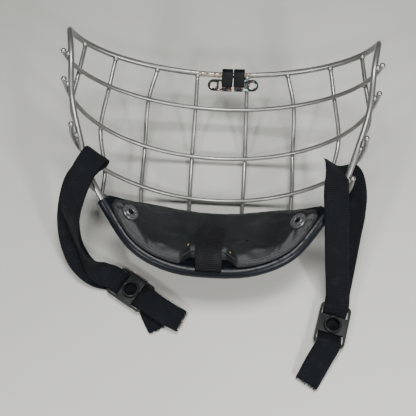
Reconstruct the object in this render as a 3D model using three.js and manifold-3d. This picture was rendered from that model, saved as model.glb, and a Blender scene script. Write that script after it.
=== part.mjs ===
// Wire cage face mask for ice hockey, lying on its front: frame wire, welded grid, chin cup with a snapped-in
// pad, two helmet clips and two webbing straps with snap buckles.
// Millimetres. +X is the wearer's side seen from inside, +Y the forehead, +Z away from the surface it lies on.
import * as THREE from 'three';
import { mergeVertices } from 'three/addons/utils/BufferGeometryUtils.js';
import Module from 'manifold-3d';

const wasm = await Module();
wasm.setup();

// ---- Driving dimensions ----------------------------------------------------------------------------------
const WELD_GAP = 0.3;             // air left between pieces that touch or are welded
const FRAME_WIRE = 4.0;           // diameter of the frame wire
const GRID_WIRE = 3.0;            // diameter of the cross and upright wires
const WIRE_STEP = 8;              // length of one facet along a wire
const FRAME_SIDES = 8;
const GRID_SIDES = 8;

// The brow of the frame and the four cross wires are arches, symmetric about X = 0, each in its own plane.
// centre and end are [y, z] on the wire's axis; belly and leg are the lengths of the arch's handles; splay is
// how far the leg leans out, in degrees; uprights are the distances of the weld points along the wire.
const BROW = {
  centre: [89, 36], end: [85.5, 84.5], halfWidth: 104, belly: 44, leg: 32, splay: 20,
  uprights: [18.5, 48, 80, 105],
};
const CROSS_WIRES = [
  { centre: [65, 26], end: [59.5, 97], halfWidth: 101 + FRAME_WIRE / 2, belly: 48, leg: 42, splay: 3,
    uprights: [18.5, 53.5, 84, 110] },
  { centre: [33.5, 7.5], end: [43, 89.5], halfWidth: 100 + FRAME_WIRE / 2, belly: 42, leg: 59, splay: 0,
    uprights: [19.5, 55, 91, 121] },
  { centre: [0, 4.8], end: [11.5, 86], halfWidth: 91.5 + FRAME_WIRE / 2, belly: 49, leg: 44, splay: -11,
    uprights: [19, 55, 84.5] },
  { centre: [-20, 12], end: [-7, 66], halfWidth: 86 + FRAME_WIRE / 2, belly: 48, leg: 35, splay: -8,
    uprights: [18.5, 52, 82] },
];

// Right-hand side rail and chin of the frame wire, from under the brow's corner to the middle of the chin.
const SIDE_RAIL = [
  [102.6, 80, 91.5], [98.8, 60, 93.2], [97, 35, 82], [90, 10, 72], [82, -12, 60],
  [68.5, -32, 49.5], [50, -54, 44.5], [27, -64.5, 42],
];
const CHIN_MIDDLE = [0, -67, 41.5];
const OUTER_UPRIGHT_END_Y = 15;   // where the outermost uprights meet the underside of the side rails
const UPRIGHT_SAG = 5;            // how far an upright bows out between the lowest cross wire and the chin
const UPRIGHT_TAIL = 4;           // what an upright sticks out past its last weld

// Chin shell: a cup whose rim hooks over the chin of the frame wire.
const RIM_HALF_LENGTH = 92;       // along the wire, from the middle of the chin
const RIM_WALL = 1.8;
const RIM_OPENING = 150;          // degrees left open underneath, where the uprights reach the wire
const SHELL_WALL = 2.4;
const CUP_HALF_WIDTH = 71;        // at the top edge
const CUP_TOP = [-18, 14.5];      // [y, z] of the top edge in the middle
const CUP_TOP_SETBACK = 3.5;       // how far the top edge falls back at its ends
const CUP_RISE = 24.2;            // depth and width of the curve from side to side
const CUP_RISE_WIDTH = 30;
const CUP_BULGE = 3;

// Chin pad
const PAD_THICKNESS = 8;
const PAD_EAR_THICKNESS = 5.2;    // at its two ends
const PAD_SKIN = 1.2;
const PAD_REACH = 0.96;           // share of the shell's half-width that the pad covers
const PAD_OVERHANG = 4.7;         // how far the pad's lower edge hangs over the rim
const PAD_EAR_OVERHANG = 8;
const PAD_NOTCH = 8.4;            // depth of the notch in its lower edge that the centre tab fills
const PAD_NOTCH_SLOPE = [1.2, 7]; // from the tab's edges, where the notch begins and ends

// Pad snaps
const SNAP_POSITION = [0.8, 0.88]; // across and down the cup
const SNAP_RING = 11.6;
const SNAP_BORE = 4.0;
const SNAP_RING_HEIGHT = 1.6;
const SNAP_POST = 3.2;
const SNAP_FLANGE = 4.4;
const SNAP_FLANGE_HEIGHT = 1.2;

// Centre tab of woven tape over the pad and the rim
const TAB_WIDTH = 17;
const TAB_THICKNESS = 2.0;
const TAB_OFFSET = -2;            // sideways from the middle
const TAB_START = 0.5;            // down the cup

// Helmet clips on the brow wire
const CLIP_WIDTH = 7.2;
const CLIP_STRIP = 1.2;
const CLIP_RUNNING_GAP = 0.4;
const CLIP_LENGTH = 12.5;         // below the wire's axis
const CLIP_BACK_LENGTH = 6;
const CLIP_EYE = 8.6;
const CLIP_SCREW_HOLE = 4.6;
const CLIP_EYE_OFFSET = 10;
const CLIP_EYE_DROP = 8;
const CLIP_RAIL = 1.5;
const CLIP_SKIN = 0.8;
const CLIP_TILT = 24;             // degrees that the plate leans from level
const CLIP_PLACES = [3.8, 12.6];  // distance of each clip along the brow wire

// Straps and buckles
const WEBBING_WIDTH = 16;
const WEBBING_THICKNESS = 1.5;
const BUCKLE_WIDTH = WEBBING_WIDTH + 5;
const BUCKLE_LENGTH = 29;
const BUCKLE_THICKNESS = 2.0;
const BUCKLE_SLOT = 5.4;
const BUCKLE_BAR = 3;
const BUCKLE_CLEARANCE = 1;       // beside the webbing in a slot
const SOCKET_RING = 12;
const SOCKET_BORE = 9;
const SOCKET_HEIGHT = 2.2;

// ---- Materials -------------------------------------------------------------------------------------------
const finish = (color, roughness, metalness) => new THREE.MeshStandardMaterial({ color, roughness, metalness });
const wireFinish = finish(0xa9aaa4, 0.38, 0.6);
const clipSteelFinish = finish(0x8d9392, 0.35, 0.9);
const clipVinylFinish = finish(0x10161a, 0.45, 0);
const shellFinish = finish(0x15191f, 0.35, 0);
const padFinish = finish(0x2c3236, 0.5, 0);
const foamFinish = finish(0xb79a6a, 0.95, 0);
const snapFinish = finish(0x70757a, 0.35, 0.9);
const webbingFinish = finish(0x1b2024, 0.9, 0);
const buckleFinish = finish(0x2f3438, 0.45, 0);

// ---- Helpers ---------------------------------------------------------------------------------------------
const mask = new THREE.Group();
const vector = (p) => new THREE.Vector3(...p);
const mirrored = (v) => new THREE.Vector3(-v.x, v.y, v.z);

function addMesh(name, geometry, material) {
  const mesh = new THREE.Mesh(geometry, material);
  mesh.name = name;
  mask.add(mesh);
  return mesh;
}

// Signed volume, to turn a bent box the right way out.
function signedVolume(geometry) {
  const p = geometry.attributes.position;
  const index = geometry.index.array;
  const [a, b, c] = [new THREE.Vector3(), new THREE.Vector3(), new THREE.Vector3()];
  let sum = 0;
  for (let i = 0; i < index.length; i += 3) {
    a.fromBufferAttribute(p, index[i]);
    b.fromBufferAttribute(p, index[i + 1]);
    c.fromBufferAttribute(p, index[i + 2]);
    sum += a.dot(b.cross(c));
  }
  return sum / 6;
}

// A box of nu x nv x nw cells whose corners (u, v, w), each from 0 to 1, are moved to place(u, v, w).
function bentBox(nu, nv, nw, place) {
  let geometry = new THREE.BoxGeometry(1, 1, 1, nu, nv, nw);
  geometry.deleteAttribute('normal');
  geometry.deleteAttribute('uv');
  geometry = mergeVertices(geometry, 1e-4);
  const p = geometry.attributes.position;
  for (let i = 0; i < p.count; i++) {
    const v = place(p.getX(i) + 0.5, p.getY(i) + 0.5, p.getZ(i) + 0.5);
    p.setXYZ(i, v.x, v.y, v.z);
  }
  if (signedVolume(geometry) < 0) {
    const index = geometry.index.array;
    for (let i = 0; i < index.length; i += 3) {
      [index[i], index[i + 1]] = [index[i + 1], index[i]];
    }
  }
  geometry.computeVertexNormals();
  return geometry;
}

function toSolid(geometry) {
  const plain = geometry.clone();
  plain.deleteAttribute('normal');
  plain.deleteAttribute('uv');
  const merged = mergeVertices(plain, 1e-4);
  return new wasm.Manifold(new wasm.Mesh({
    numProp: 3,
    vertProperties: new Float32Array(merged.attributes.position.array),
    triVerts: new Uint32Array(merged.index.array),
  }));
}

function toGeometry(solid) {
  const mesh = solid.getMesh();
  const geometry = new THREE.BufferGeometry();
  geometry.setAttribute('position', new THREE.BufferAttribute(mesh.vertProperties, 3));
  geometry.setIndex(new THREE.BufferAttribute(mesh.triVerts, 1));
  geometry.computeVertexNormals();
  return geometry;
}

function circle(radius, sides) {
  const points = [];
  for (let i = 0; i < sides; i++) {
    const angle = (i / sides) * 2 * Math.PI;
    points.push(new THREE.Vector2(radius * Math.cos(angle), radius * Math.sin(angle)));
  }
  return points;
}

function rod(curve, diameter, sides) {
  return new THREE.ExtrudeGeometry(new THREE.Shape(circle(diameter / 2, sides)), {
    steps: Math.ceil(curve.getLength() / WIRE_STEP),
    extrudePath: curve,
  });
}

// Matrix that takes local x, y, z to the three given directions at a place.
function frameAt(xAxis, yAxis, zAxis, origin) {
  return new THREE.Matrix4().makeBasis(xAxis, yAxis, zAxis).setPosition(origin);
}

// ---- Frame wire and cross wires --------------------------------------------------------------------------
function archCurve(arch) {
  const middle = new THREE.Vector3(0, ...arch.centre);
  const tip = new THREE.Vector3(arch.halfWidth, ...arch.end);
  const rise = new THREE.Vector3(0, tip.y - middle.y, tip.z - middle.z).normalize();
  const splay = THREE.MathUtils.degToRad(arch.splay);
  const legDirection = new THREE.Vector3(Math.sin(splay), 0, 0).addScaledVector(rise, Math.cos(splay));
  const belly = new THREE.Vector3(arch.belly, ...arch.centre);
  const leg = tip.clone().addScaledVector(legDirection, -arch.leg);
  const curve = new THREE.CurvePath();
  curve.add(new THREE.CubicBezierCurve3(mirrored(tip), mirrored(leg), mirrored(belly), middle));
  curve.add(new THREE.CubicBezierCurve3(middle, belly, leg, tip));
  return curve;
}

// The point and the direction of travel at a signed distance from the middle of a symmetric curve.
function stationAt(curve, distance) {
  const share = 0.5 + distance / curve.getLength();
  return { point: curve.getPointAt(share), tangent: curve.getTangentAt(share) };
}

const browCurve = archCurve(BROW);
const crossCurves = CROSS_WIRES.map(archCurve);

function frameCurve() {
  const browHalf = browCurve.curves[1].getPoints(14);
  const rail = SIDE_RAIL.map(vector);
  const rightHalf = [...browHalf, ...rail, vector(CHIN_MIDDLE).setX(WELD_GAP / 2)];
  const leftHalf = rightHalf.slice(1).map(mirrored);
  return new THREE.CatmullRomCurve3([...rightHalf.slice().reverse(), ...leftHalf], false, 'centripetal');
}
const frame = frameCurve();
addMesh('frame_wire', rod(frame, FRAME_WIRE, FRAME_SIDES), wireFinish);

crossCurves.forEach((curve, i) => {
  addMesh(`cross_wire_${i + 1}`, rod(curve, GRID_WIRE, GRID_SIDES), wireFinish);
});

// The chin of the frame: point, tangent and inward direction at a signed distance from the middle of the chin.
function chinStation(distance) {
  const length = frame.getLength();
  const along = distance >= 0 ? distance / length : 1 + distance / length;
  const point = frame.getPointAt(along);
  const tangent = frame.getTangentAt(along);
  const up = new THREE.Vector3(0, 0, 1);
  up.addScaledVector(tangent, -up.dot(tangent)).normalize();
  const inward = new THREE.Vector3().crossVectors(up, tangent);
  if (inward.y < 0) inward.negate();
  return { point, tangent, up, inward };
}

// Distance along the frame wire, from the middle of the chin, where a test of the point first holds.
function chinDistanceWhere(test) {
  let distance = 0;
  while (!test(chinStation(distance).point)) distance += 0.5;
  return distance;
}

// ---- Upright wires ---------------------------------------------------------------------------------------
// A weld point on the outside of a cross wire: the upright's axis there.
function weldPoint(curve, distance, before, after) {
  const { point, tangent } = stationAt(curve, distance);
  const along = new THREE.Vector3().subVectors(after, before).normalize();
  const outward = new THREE.Vector3().crossVectors(along, tangent).normalize();
  const inside = new THREE.Vector3(0, point.y, 90).sub(point);
  if (outward.dot(inside) > 0) outward.negate();
  return point.clone().addScaledVector(outward, GRID_WIRE + WELD_GAP);
}

// How far from a frame wire's axis an upright has to stop, so that its flat end stays clear of the wire.
function buttDistance(tangent, direction) {
  const cosine = Math.abs(tangent.dot(direction));
  const sine = Math.sqrt(1 - cosine ** 2);
  return (FRAME_WIRE / 2 + WELD_GAP + (GRID_WIRE / 2) * cosine) / sine;
}

function uprightCurve(side, rank) {
  const welded = CROSS_WIRES.map((arch, i) => ({ curve: crossCurves[i], at: arch.uprights[rank] }))
    .filter((weld) => weld.at !== undefined);
  const brow = stationAt(browCurve, side * BROW.uprights[rank]);
  const browPoint = brow.point;
  const axis = [browPoint, ...welded.map((weld) => stationAt(weld.curve, side * weld.at).point)];

  let end;
  if (rank === 3) {
    const distance = chinDistanceWhere((p) => p.y > OUTER_UPRIGHT_END_Y);
    end = chinStation(side * distance).point;
    end.x += side * WELD_GAP;
    end.z -= (FRAME_WIRE + GRID_WIRE) / 2 + WELD_GAP * 3;
  } else if (rank < 2) {
    const last = axis[axis.length - 1];
    const distance = chinDistanceWhere((p) => p.x > Math.abs(last.x) * 0.93);
    const chin = chinStation(side * distance);
    const towards = new THREE.Vector3().subVectors(last, chin.point).normalize();
    end = chin.point.addScaledVector(towards, buttDistance(chin.tangent, towards) + WELD_GAP);
  }
  const targets = end ? [...axis, end] : axis;
  const points = welded.map((weld, i) => {
    const after = targets[i + 2] ?? targets[i + 1];
    return weldPoint(weld.curve, side * weld.at, axis[i], after);
  });
  const down = new THREE.Vector3().subVectors(points[0], browPoint).normalize();
  const start = browPoint.clone().addScaledVector(down, buttDistance(brow.tangent, down));
  if (rank < 2) {
    const bow = new THREE.Vector3().addVectors(points[points.length - 1], end).multiplyScalar(0.5);
    bow.z -= UPRIGHT_SAG;
    points.push(bow, end);
  } else if (rank === 2) {
    const last = points[points.length - 1];
    const run = new THREE.Vector3().subVectors(last, points[points.length - 2]).normalize();
    points.push(last.clone().addScaledVector(run, UPRIGHT_TAIL));
  } else {
    points.push(end);
  }
  return new THREE.CatmullRomCurve3([start, ...points], false, 'centripetal');
}

for (let i = 0; i < 8; i++) {
  const side = i < 4 ? -1 : 1;
  const rank = i < 4 ? 3 - i : i - 4;
  addMesh(`upright_wire_${i + 1}`, rod(uprightCurve(side, rank), GRID_WIRE, GRID_SIDES), wireFinish);
}

// ---- Chin shell ------------------------------------------------------------------------------------------
const RIM_INNER = FRAME_WIRE / 2 + WELD_GAP;
const RIM_OUTER = RIM_INNER + RIM_WALL;

// A point of the rim's section: angle 0 is up, positive angles turn inward, to the pad.
function rimPoint(distance, degrees, radius) {
  const { point, up, inward } = chinStation(distance);
  const angle = THREE.MathUtils.degToRad(degrees);
  return point.addScaledVector(up, radius * Math.cos(angle)).addScaledVector(inward, radius * Math.sin(angle));
}

// The rim's gap faces down, centred this many degrees from up.
const RIM_GAP_CENTRE = 170;
const rimShape = bentBox(30, 8, 1, (u, v, w) => rimPoint(
  (u - 0.5) * 2 * RIM_HALF_LENGTH,
  RIM_GAP_CENTRE + RIM_OPENING / 2 + v * (360 - RIM_OPENING),
  RIM_INNER + w * RIM_WALL,
));

const cupRise = (x) => CUP_RISE * (Math.hypot(1, x / CUP_RISE_WIDTH) - 1);

// The outer face of the cup: across runs from -1 to 1, down from 0 at the top edge to 1 in the rim's wall.
function cupFace(across, down) {
  const x = CUP_HALF_WIDTH * across;
  const top = new THREE.Vector3(x, CUP_TOP[0] - CUP_TOP_SETBACK * across ** 2, CUP_TOP[1] + cupRise(x));
  const bottom = rimPoint(across * (RIM_HALF_LENGTH - 1), 90, RIM_INNER + RIM_WALL / 2);
  const face = top.lerp(bottom, down);
  const bulge = CUP_BULGE * 4 * down * (1 - down) * (1 - across ** 2);
  face.z -= bulge;
  return face;
}

// A point at a height over the cup's outer face, measured square to it.
function overCup(across, down, height) {
  const d = 0.01;
  const sideways = cupFace(across + d / 2, down).sub(cupFace(across - d / 2, down));
  const downwards = cupFace(across, down + d / 2).sub(cupFace(across, down - d / 2));
  const normal = sideways.cross(downwards).normalize();
  if (normal.z < 0) normal.negate();
  return cupFace(across, down).addScaledVector(normal, height);
}

// A round solid of revolution, its axis square to the cup and its base at a height over the outer face.
function roundOnCup(profile, side, height, segments) {
  const [across, down] = SNAP_POSITION;
  const foot = overCup(side * across, down, 0);
  const axis = overCup(side * across, down, 1).sub(foot).normalize();
  const xAxis = new THREE.Vector3(1, 0, 0).addScaledVector(axis, -axis.x).normalize();
  const zAxis = new THREE.Vector3().crossVectors(xAxis, axis);
  const geometry = new THREE.LatheGeometry(profile.map(([r, y]) => new THREE.Vector2(r, y)), segments);
  geometry.applyMatrix4(frameAt(xAxis, axis, zAxis, foot.addScaledVector(axis, height)));
  return geometry;
}

const SNAP_SEGMENTS = 20;
const snapHole = (side) => toSolid(roundOnCup(
  [[0, -5], [SNAP_POST / 2 + WELD_GAP, -5], [SNAP_POST / 2 + WELD_GAP, 30], [0, 30]], side, 0, SNAP_SEGMENTS));
const snapHoles = snapHole(-1).add(snapHole(1));

const cupWall = bentBox(24, 6, 1, (u, v, w) => overCup((u - 0.5) * 2, v, w * SHELL_WALL));
const chinShell = toSolid(rimShape).add(toSolid(cupWall)).subtract(snapHoles);
addMesh('chin_shell', toGeometry(chinShell), shellFinish);

// ---- Chin pad --------------------------------------------------------------------------------------------
const PAD_BASE = SHELL_WALL + WELD_GAP;

// Height of the pad's top face over the cup's outer face; the pad thins towards its ends.
function padTop(across) {
  const thinning = Math.abs(across / PAD_REACH) ** 3;
  return PAD_BASE + PAD_THICKNESS - (PAD_THICKNESS - PAD_EAR_THICKNESS) * thinning;
}

// How far the pad's lower edge reaches past the cup, over the rim: more at its ears, less behind the tab.
function padOverhang(across) {
  const ear = THREE.MathUtils.smoothstep(Math.abs(across), 0.5, 0.9);
  const besideTab = Math.abs(across * CUP_HALF_WIDTH - TAB_OFFSET) - TAB_WIDTH / 2;
  const notch = 1 - THREE.MathUtils.smoothstep(besideTab, ...PAD_NOTCH_SLOPE);
  return THREE.MathUtils.lerp(PAD_OVERHANG, PAD_EAR_OVERHANG, ear) - PAD_NOTCH * notch;
}

// Every pad layer is a block over the cup with rounded ears; inset shrinks it all round, low is its base and
// high is how far its top stays under the pad's.
function padBlock(inset, low, high) {
  return bentBox(48, 6, 1, (u, v, w) => {
    const reach = PAD_REACH - inset / CUP_HALF_WIDTH;
    const across = (u - 0.5) * 2 * reach;
    const span = cupFace(across, 0).distanceTo(cupFace(across, 1));
    const roundness = Math.sqrt(Math.max(0, 1 - Math.abs(across / (reach * 1.02)) ** 8));
    const lowest = 1 + (padOverhang(across) - inset) / span;
    const highest = inset / span;
    const middle = (lowest + highest) / 2;
    const half = ((lowest - highest) / 2) * Math.max(0.35, roundness);
    return overCup(across, middle + (v - 0.5) * 2 * half, low + w * (padTop(across) - high - low));
  });
}

// The snap rings are pressed into shallow seats in the pad's face.
const snapFace = padTop(SNAP_POSITION[0]);
const seatProfile = [[0, 0], [SNAP_RING / 2 + WELD_GAP, 0], [SNAP_RING / 2 + WELD_GAP, 8], [0, 8]];
const snapSeat = (side) => toSolid(roundOnCup(seatProfile, side, snapFace - WELD_GAP, SNAP_SEGMENTS));
const padOuter = toSolid(padBlock(0, PAD_BASE, 0)).subtract(snapSeat(-1)).subtract(snapSeat(1));
const padHollow = toSolid(padBlock(PAD_SKIN, PAD_BASE - 1, PAD_SKIN));
addMesh('chin_pad_cover', toGeometry(padOuter.subtract(padHollow).subtract(snapHoles)), padFinish);
const foam = toSolid(padBlock(PAD_SKIN + WELD_GAP, PAD_BASE, PAD_SKIN + WELD_GAP));
addMesh('chin_pad_foam', toGeometry(foam.subtract(snapHoles)), foamFinish);

for (const [label, side] of [['left', -1], ['right', 1]]) {
  const ring = [
    [SNAP_BORE / 2, 0], [SNAP_RING / 2, 0], [SNAP_RING / 2, SNAP_RING_HEIGHT * 0.6],
    [SNAP_RING / 2 - 1, SNAP_RING_HEIGHT], [SNAP_BORE / 2, SNAP_RING_HEIGHT], [SNAP_BORE / 2, 0],
  ];
  addMesh(`${label}_pad_snap_ring`,
    roundOnCup(ring, side, snapFace, SNAP_SEGMENTS), snapFinish);
  const flangeTop = -WELD_GAP;
  const post = [
    [0, flangeTop - SNAP_FLANGE_HEIGHT], [SNAP_FLANGE / 2, flangeTop - SNAP_FLANGE_HEIGHT],
    [SNAP_FLANGE / 2, flangeTop], [SNAP_POST / 2, flangeTop],
    [SNAP_POST / 2, snapFace + SNAP_RING_HEIGHT / 2], [0, snapFace + SNAP_RING_HEIGHT / 2],
  ];
  addMesh(`${label}_pad_snap_post`, roundOnCup(post, side, 0, 16), snapFinish);
}

// ---- Webbing ---------------------------------------------------------------------------------------------
// A flat band along points, each { at: [x, y, z], across: [x, y, z] }, across being its width's direction.
function webbing(points, width, thickness, steps) {
  const path = new THREE.CatmullRomCurve3(points.map((p) => vector(p.at)), false, 'centripetal');
  const turns = new THREE.CatmullRomCurve3(points.map((p) => vector(p.across)), false, 'catmullrom');
  return bentBox(steps, 1, 1, (u, v, w) => {
    const tangent = path.getTangent(u);
    const across = turns.getPoint(u);
    across.addScaledVector(tangent, -across.dot(tangent)).normalize();
    const normal = new THREE.Vector3().crossVectors(tangent, across);
    return path.getPoint(u).addScaledVector(across, (v - 0.5) * width).addScaledVector(normal, (w - 0.5) * thickness);
  });
}

// Centre tab: lies on the pad, runs over the rim and tucks down outside it.
const TAB_ON_PAD = [TAB_START, 0.66, 0.82, 0.98];  // down the cup
const TAB_OVER_RIM = [20, -12];                    // degrees round the rim
const TAB_RIM_SLACK = 0.6;
function tabPoint(along, sideways, lift) {
  const x = TAB_OFFSET + sideways;
  const onPad = TAB_ON_PAD.map((down) => overCup(x / CUP_HALF_WIDTH, down, padTop(x / CUP_HALF_WIDTH) + WELD_GAP + lift));
  const overRim = TAB_OVER_RIM.map((degrees) => rimPoint(x, degrees, RIM_OUTER + TAB_RIM_SLACK + lift));
  return new THREE.CatmullRomCurve3([...onPad, ...overRim], false, 'centripetal').getPoint(along);
}
addMesh('chin_tab', bentBox(18, 4, 1, (u, v, w) => tabPoint(u, (v - 0.5) * TAB_WIDTH, w * TAB_THICKNESS)),
  webbingFinish);

// ---- Helmet clips ----------------------------------------------------------------------------------------
// In a clip's own frame X runs along the brow wire, Y up the plate and Z to the wearer. The strip hooks over the
// wire; its front plate carries the eye for the helmet screw, off to one side, behind an open window.
const CLIP_INNER = FRAME_WIRE / 2 + CLIP_RUNNING_GAP;

// Side section of a hook: a half ring over the wire with a straight leg on each side, as a shape to extrude.
function hookShape(inner, thickness, frontLength, backLength) {
  const outer = inner + thickness;
  const shape = new THREE.Shape();
  shape.moveTo(inner, -frontLength);
  shape.lineTo(outer, -frontLength);
  shape.lineTo(outer, 0);
  shape.absarc(0, 0, outer, 0, Math.PI, false);
  shape.lineTo(-outer, -backLength);
  shape.lineTo(-inner, -backLength);
  shape.lineTo(-inner, 0);
  shape.absarc(0, 0, inner, Math.PI, 0, true);
  return shape;
}

function hookSolid(inner, thickness, frontLength, backLength, width) {
  const geometry = new THREE.ExtrudeGeometry(hookShape(inner, thickness, frontLength, backLength), {
    depth: width, bevelEnabled: false, curveSegments: 10,
  });
  geometry.translate(0, 0, -width / 2);
  geometry.rotateY(-Math.PI / 2);   // the shape's x becomes the clip's z, the depth runs along its x
  return toSolid(geometry);
}

function plateSolid(shape, thickness, base) {
  const geometry = new THREE.ExtrudeGeometry(shape, { depth: thickness, bevelEnabled: false, curveSegments: 12 });
  geometry.translate(0, 0, base);
  return toSolid(geometry);
}

function eyeShape(side) {
  const centre = side * CLIP_EYE_OFFSET;
  const radius = CLIP_EYE / 2;
  const shape = new THREE.Shape();
  const bottom = -CLIP_EYE_DROP - radius;
  const top = -CLIP_EYE_DROP + radius;
  shape.moveTo(0, bottom);
  if (side > 0) {
    shape.lineTo(centre, bottom);
    shape.absarc(centre, -CLIP_EYE_DROP, radius, -Math.PI / 2, Math.PI / 2, false);
    shape.lineTo(0, top);
  } else {
    shape.lineTo(0, top);
    shape.lineTo(centre, top);
    shape.absarc(centre, -CLIP_EYE_DROP, radius, Math.PI / 2, Math.PI * 1.5, false);
  }
  shape.closePath();
  const screwHole = new THREE.Path(circle(CLIP_SCREW_HOLE / 2, 20).map((q) => q.add(
    new THREE.Vector2(centre, -CLIP_EYE_DROP))));
  const windowNear = side * (CLIP_WIDTH / 2 + CLIP_SKIN);
  const windowFar = centre - side * (CLIP_SCREW_HOLE / 2 + CLIP_RAIL);
  const [left, right] = [Math.min(windowNear, windowFar), Math.max(windowNear, windowFar)];
  const openWindow = new THREE.Path();
  openWindow.moveTo(left, bottom + CLIP_RAIL);
  openWindow.lineTo(right, bottom + CLIP_RAIL);
  openWindow.lineTo(right, top - CLIP_RAIL);
  openWindow.lineTo(left, top - CLIP_RAIL);
  openWindow.closePath();
  shape.holes.push(screwHole, openWindow);
  return shape;
}

for (const [i, [label, side]] of [['left', -1], ['right', 1]].entries()) {
  const { point, tangent } = stationAt(browCurve, CLIP_PLACES[i]);
  const tilt = THREE.MathUtils.degToRad(CLIP_TILT);
  const upPlate = new THREE.Vector3(0, Math.cos(tilt), Math.sin(tilt));
  upPlate.addScaledVector(tangent, -upPlate.dot(tangent)).normalize();
  const toWearer = new THREE.Vector3().crossVectors(tangent, upPlate);
  const clipFrame = frameAt(tangent, upPlate, toWearer, point);

  const hook = hookSolid(CLIP_INNER, CLIP_STRIP, CLIP_LENGTH, CLIP_BACK_LENGTH, CLIP_WIDTH);
  const eye = plateSolid(eyeShape(side), CLIP_STRIP, CLIP_INNER);
  const strip = toGeometry(hook.add(eye));
  strip.applyMatrix4(clipFrame);
  addMesh(`${label}_helmet_clip`, strip, clipSteelFinish);

  const skinInner = CLIP_INNER + CLIP_STRIP + WELD_GAP;
  const skin = toGeometry(hookSolid(
    skinInner, CLIP_SKIN, CLIP_LENGTH * 0.75, CLIP_BACK_LENGTH * 0.9, CLIP_WIDTH + CLIP_SKIN));
  skin.applyMatrix4(clipFrame);
  addMesh(`${label}_clip_skin`, skin, clipVinylFinish);
}

// ---- Buckles and straps ----------------------------------------------------------------------------------
// A buckle is a flat plate with a slot at each end, and a metal snap socket between them. The webbing comes
// from the tail over the end bar, down through the slot, under the middle and up again at the other end.
// at is [x, y] of the plate's middle; turn, in degrees, is the way to the tail.
const BUCKLE_BASE = 5.5;          // height of the plate's underside over the ground under the webbing
const GROUND_LAYER = 2.15;        // height of the lower webbing's middle plane where it lies flat
const LEFT_BUCKLE = { at: [-55.2, -71.2], turn: -31 };
const RIGHT_BUCKLE = { at: [83.4, -88.2], turn: -103 };
const slotMiddle = BUCKLE_LENGTH / 2 - BUCKLE_BAR - BUCKLE_SLOT / 2;
const overBar = BUCKLE_BASE + BUCKLE_THICKNESS + WEBBING_THICKNESS / 2 + 0.6;
const underPlate = BUCKLE_BASE - WEBBING_THICKNESS / 2 - 0.35;

// Stations of webbing at distances along a buckle's length, with their heights.
function alongBuckle(buckle, stations) {
  const turn = THREE.MathUtils.degToRad(buckle.turn);
  return stations.map(([distance, height]) => ({
    at: [buckle.at[0] + distance * Math.cos(turn), buckle.at[1] + distance * Math.sin(turn), height],
    across: [-Math.sin(turn), Math.cos(turn), 0],
  }));
}

const THREADED = [
  [slotMiddle + 5.6, overBar + 0.1], [slotMiddle + 2.8, overBar], [slotMiddle + 0.2, overBar - 2.2],
  [slotMiddle - 2.6, underPlate], [0, underPlate], [2.6 - slotMiddle, underPlate],
  [-slotMiddle - 0.2, overBar - 2.2], [-slotMiddle - 2.8, overBar], [-slotMiddle - 5.6, overBar + 0.3],
];
const UNDERNEATH = [[-14, GROUND_LAYER], [-5, GROUND_LAYER], [5, GROUND_LAYER], [14, GROUND_LAYER]];

// Each strap is one webbing: from the end of its upper tail through the buckle, up to the side rail, round it,
// and back under the buckle to the end of its lower tail. at is a point of the webbing's middle plane, across
// the direction of its width; the points were laid by hand to drape from the rail to the ground.
const LEFT_STRAP = [
  { at: [-19, -91, 5.2], across: [0.3, 0.95, 0] },
  { at: [-27.5, -87.5, 7.4], across: [0.4, 0.92, 0] },
  { at: [-36, -83, 8.8], across: [0.48, 0.88, 0] },
  ...alongBuckle(LEFT_BUCKLE, THREADED),
  { at: [-76, -62.5, 14.5], across: [0.5, 0.75, 0.4] },
  { at: [-84, -57.5, 22.5], across: [0.4, 0, 0.9] },
  { at: [-90.3, -50, 33], across: [0.35, -0.45, 0.82] },
  { at: [-93, -41, 45], across: [0.6, -0.42, 0.68] },
  { at: [-93.2, -34, 54], across: [0.85, -0.25, 0.42] },
  { at: [-91, -26, 62], across: [0.95, -0.2, 0.05] },
  { at: [-86.3, -17, 70], across: [0.9, -0.35, -0.12] },
  { at: [-81.5, -8.5, 74], across: [0.82, -0.46, -0.25] },
  { at: [-78.5, -1.5, 72], across: [0.82, -0.46, -0.32] },
  { at: [-77.7, 1.2, 66], across: [0.86, -0.4, -0.3] },
  { at: [-80, 1, 58.5], across: [0.92, -0.25, -0.2] },
  { at: [-86.5, -0.3, 51.5], across: [0.95, -0.1, -0.2] },
  { at: [-94.8, -7.6, 44.5], across: [0.95, -0.1, -0.1] },
  { at: [-98.6, -20, 38.5], across: [0.97, -0.1, 0.05] },
  { at: [-99.2, -34, 31.5], across: [0.95, 0.05, 0.2] },
  { at: [-96.8, -46, 21.5], across: [0.85, 0.35, 0.35] },
  { at: [-90, -56.5, 12.5], across: [0.65, 0.7, 0.2] },
  { at: [-80.5, -62.2, 6], across: [0.54, 0.84, 0] },
  ...alongBuckle(LEFT_BUCKLE, UNDERNEATH),
  { at: [-39, -86.5, GROUND_LAYER], across: [0.75, 0.65, 0] },
  { at: [-33.5, -96, GROUND_LAYER + 0.1], across: [0.87, 0.5, 0] },
];
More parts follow.
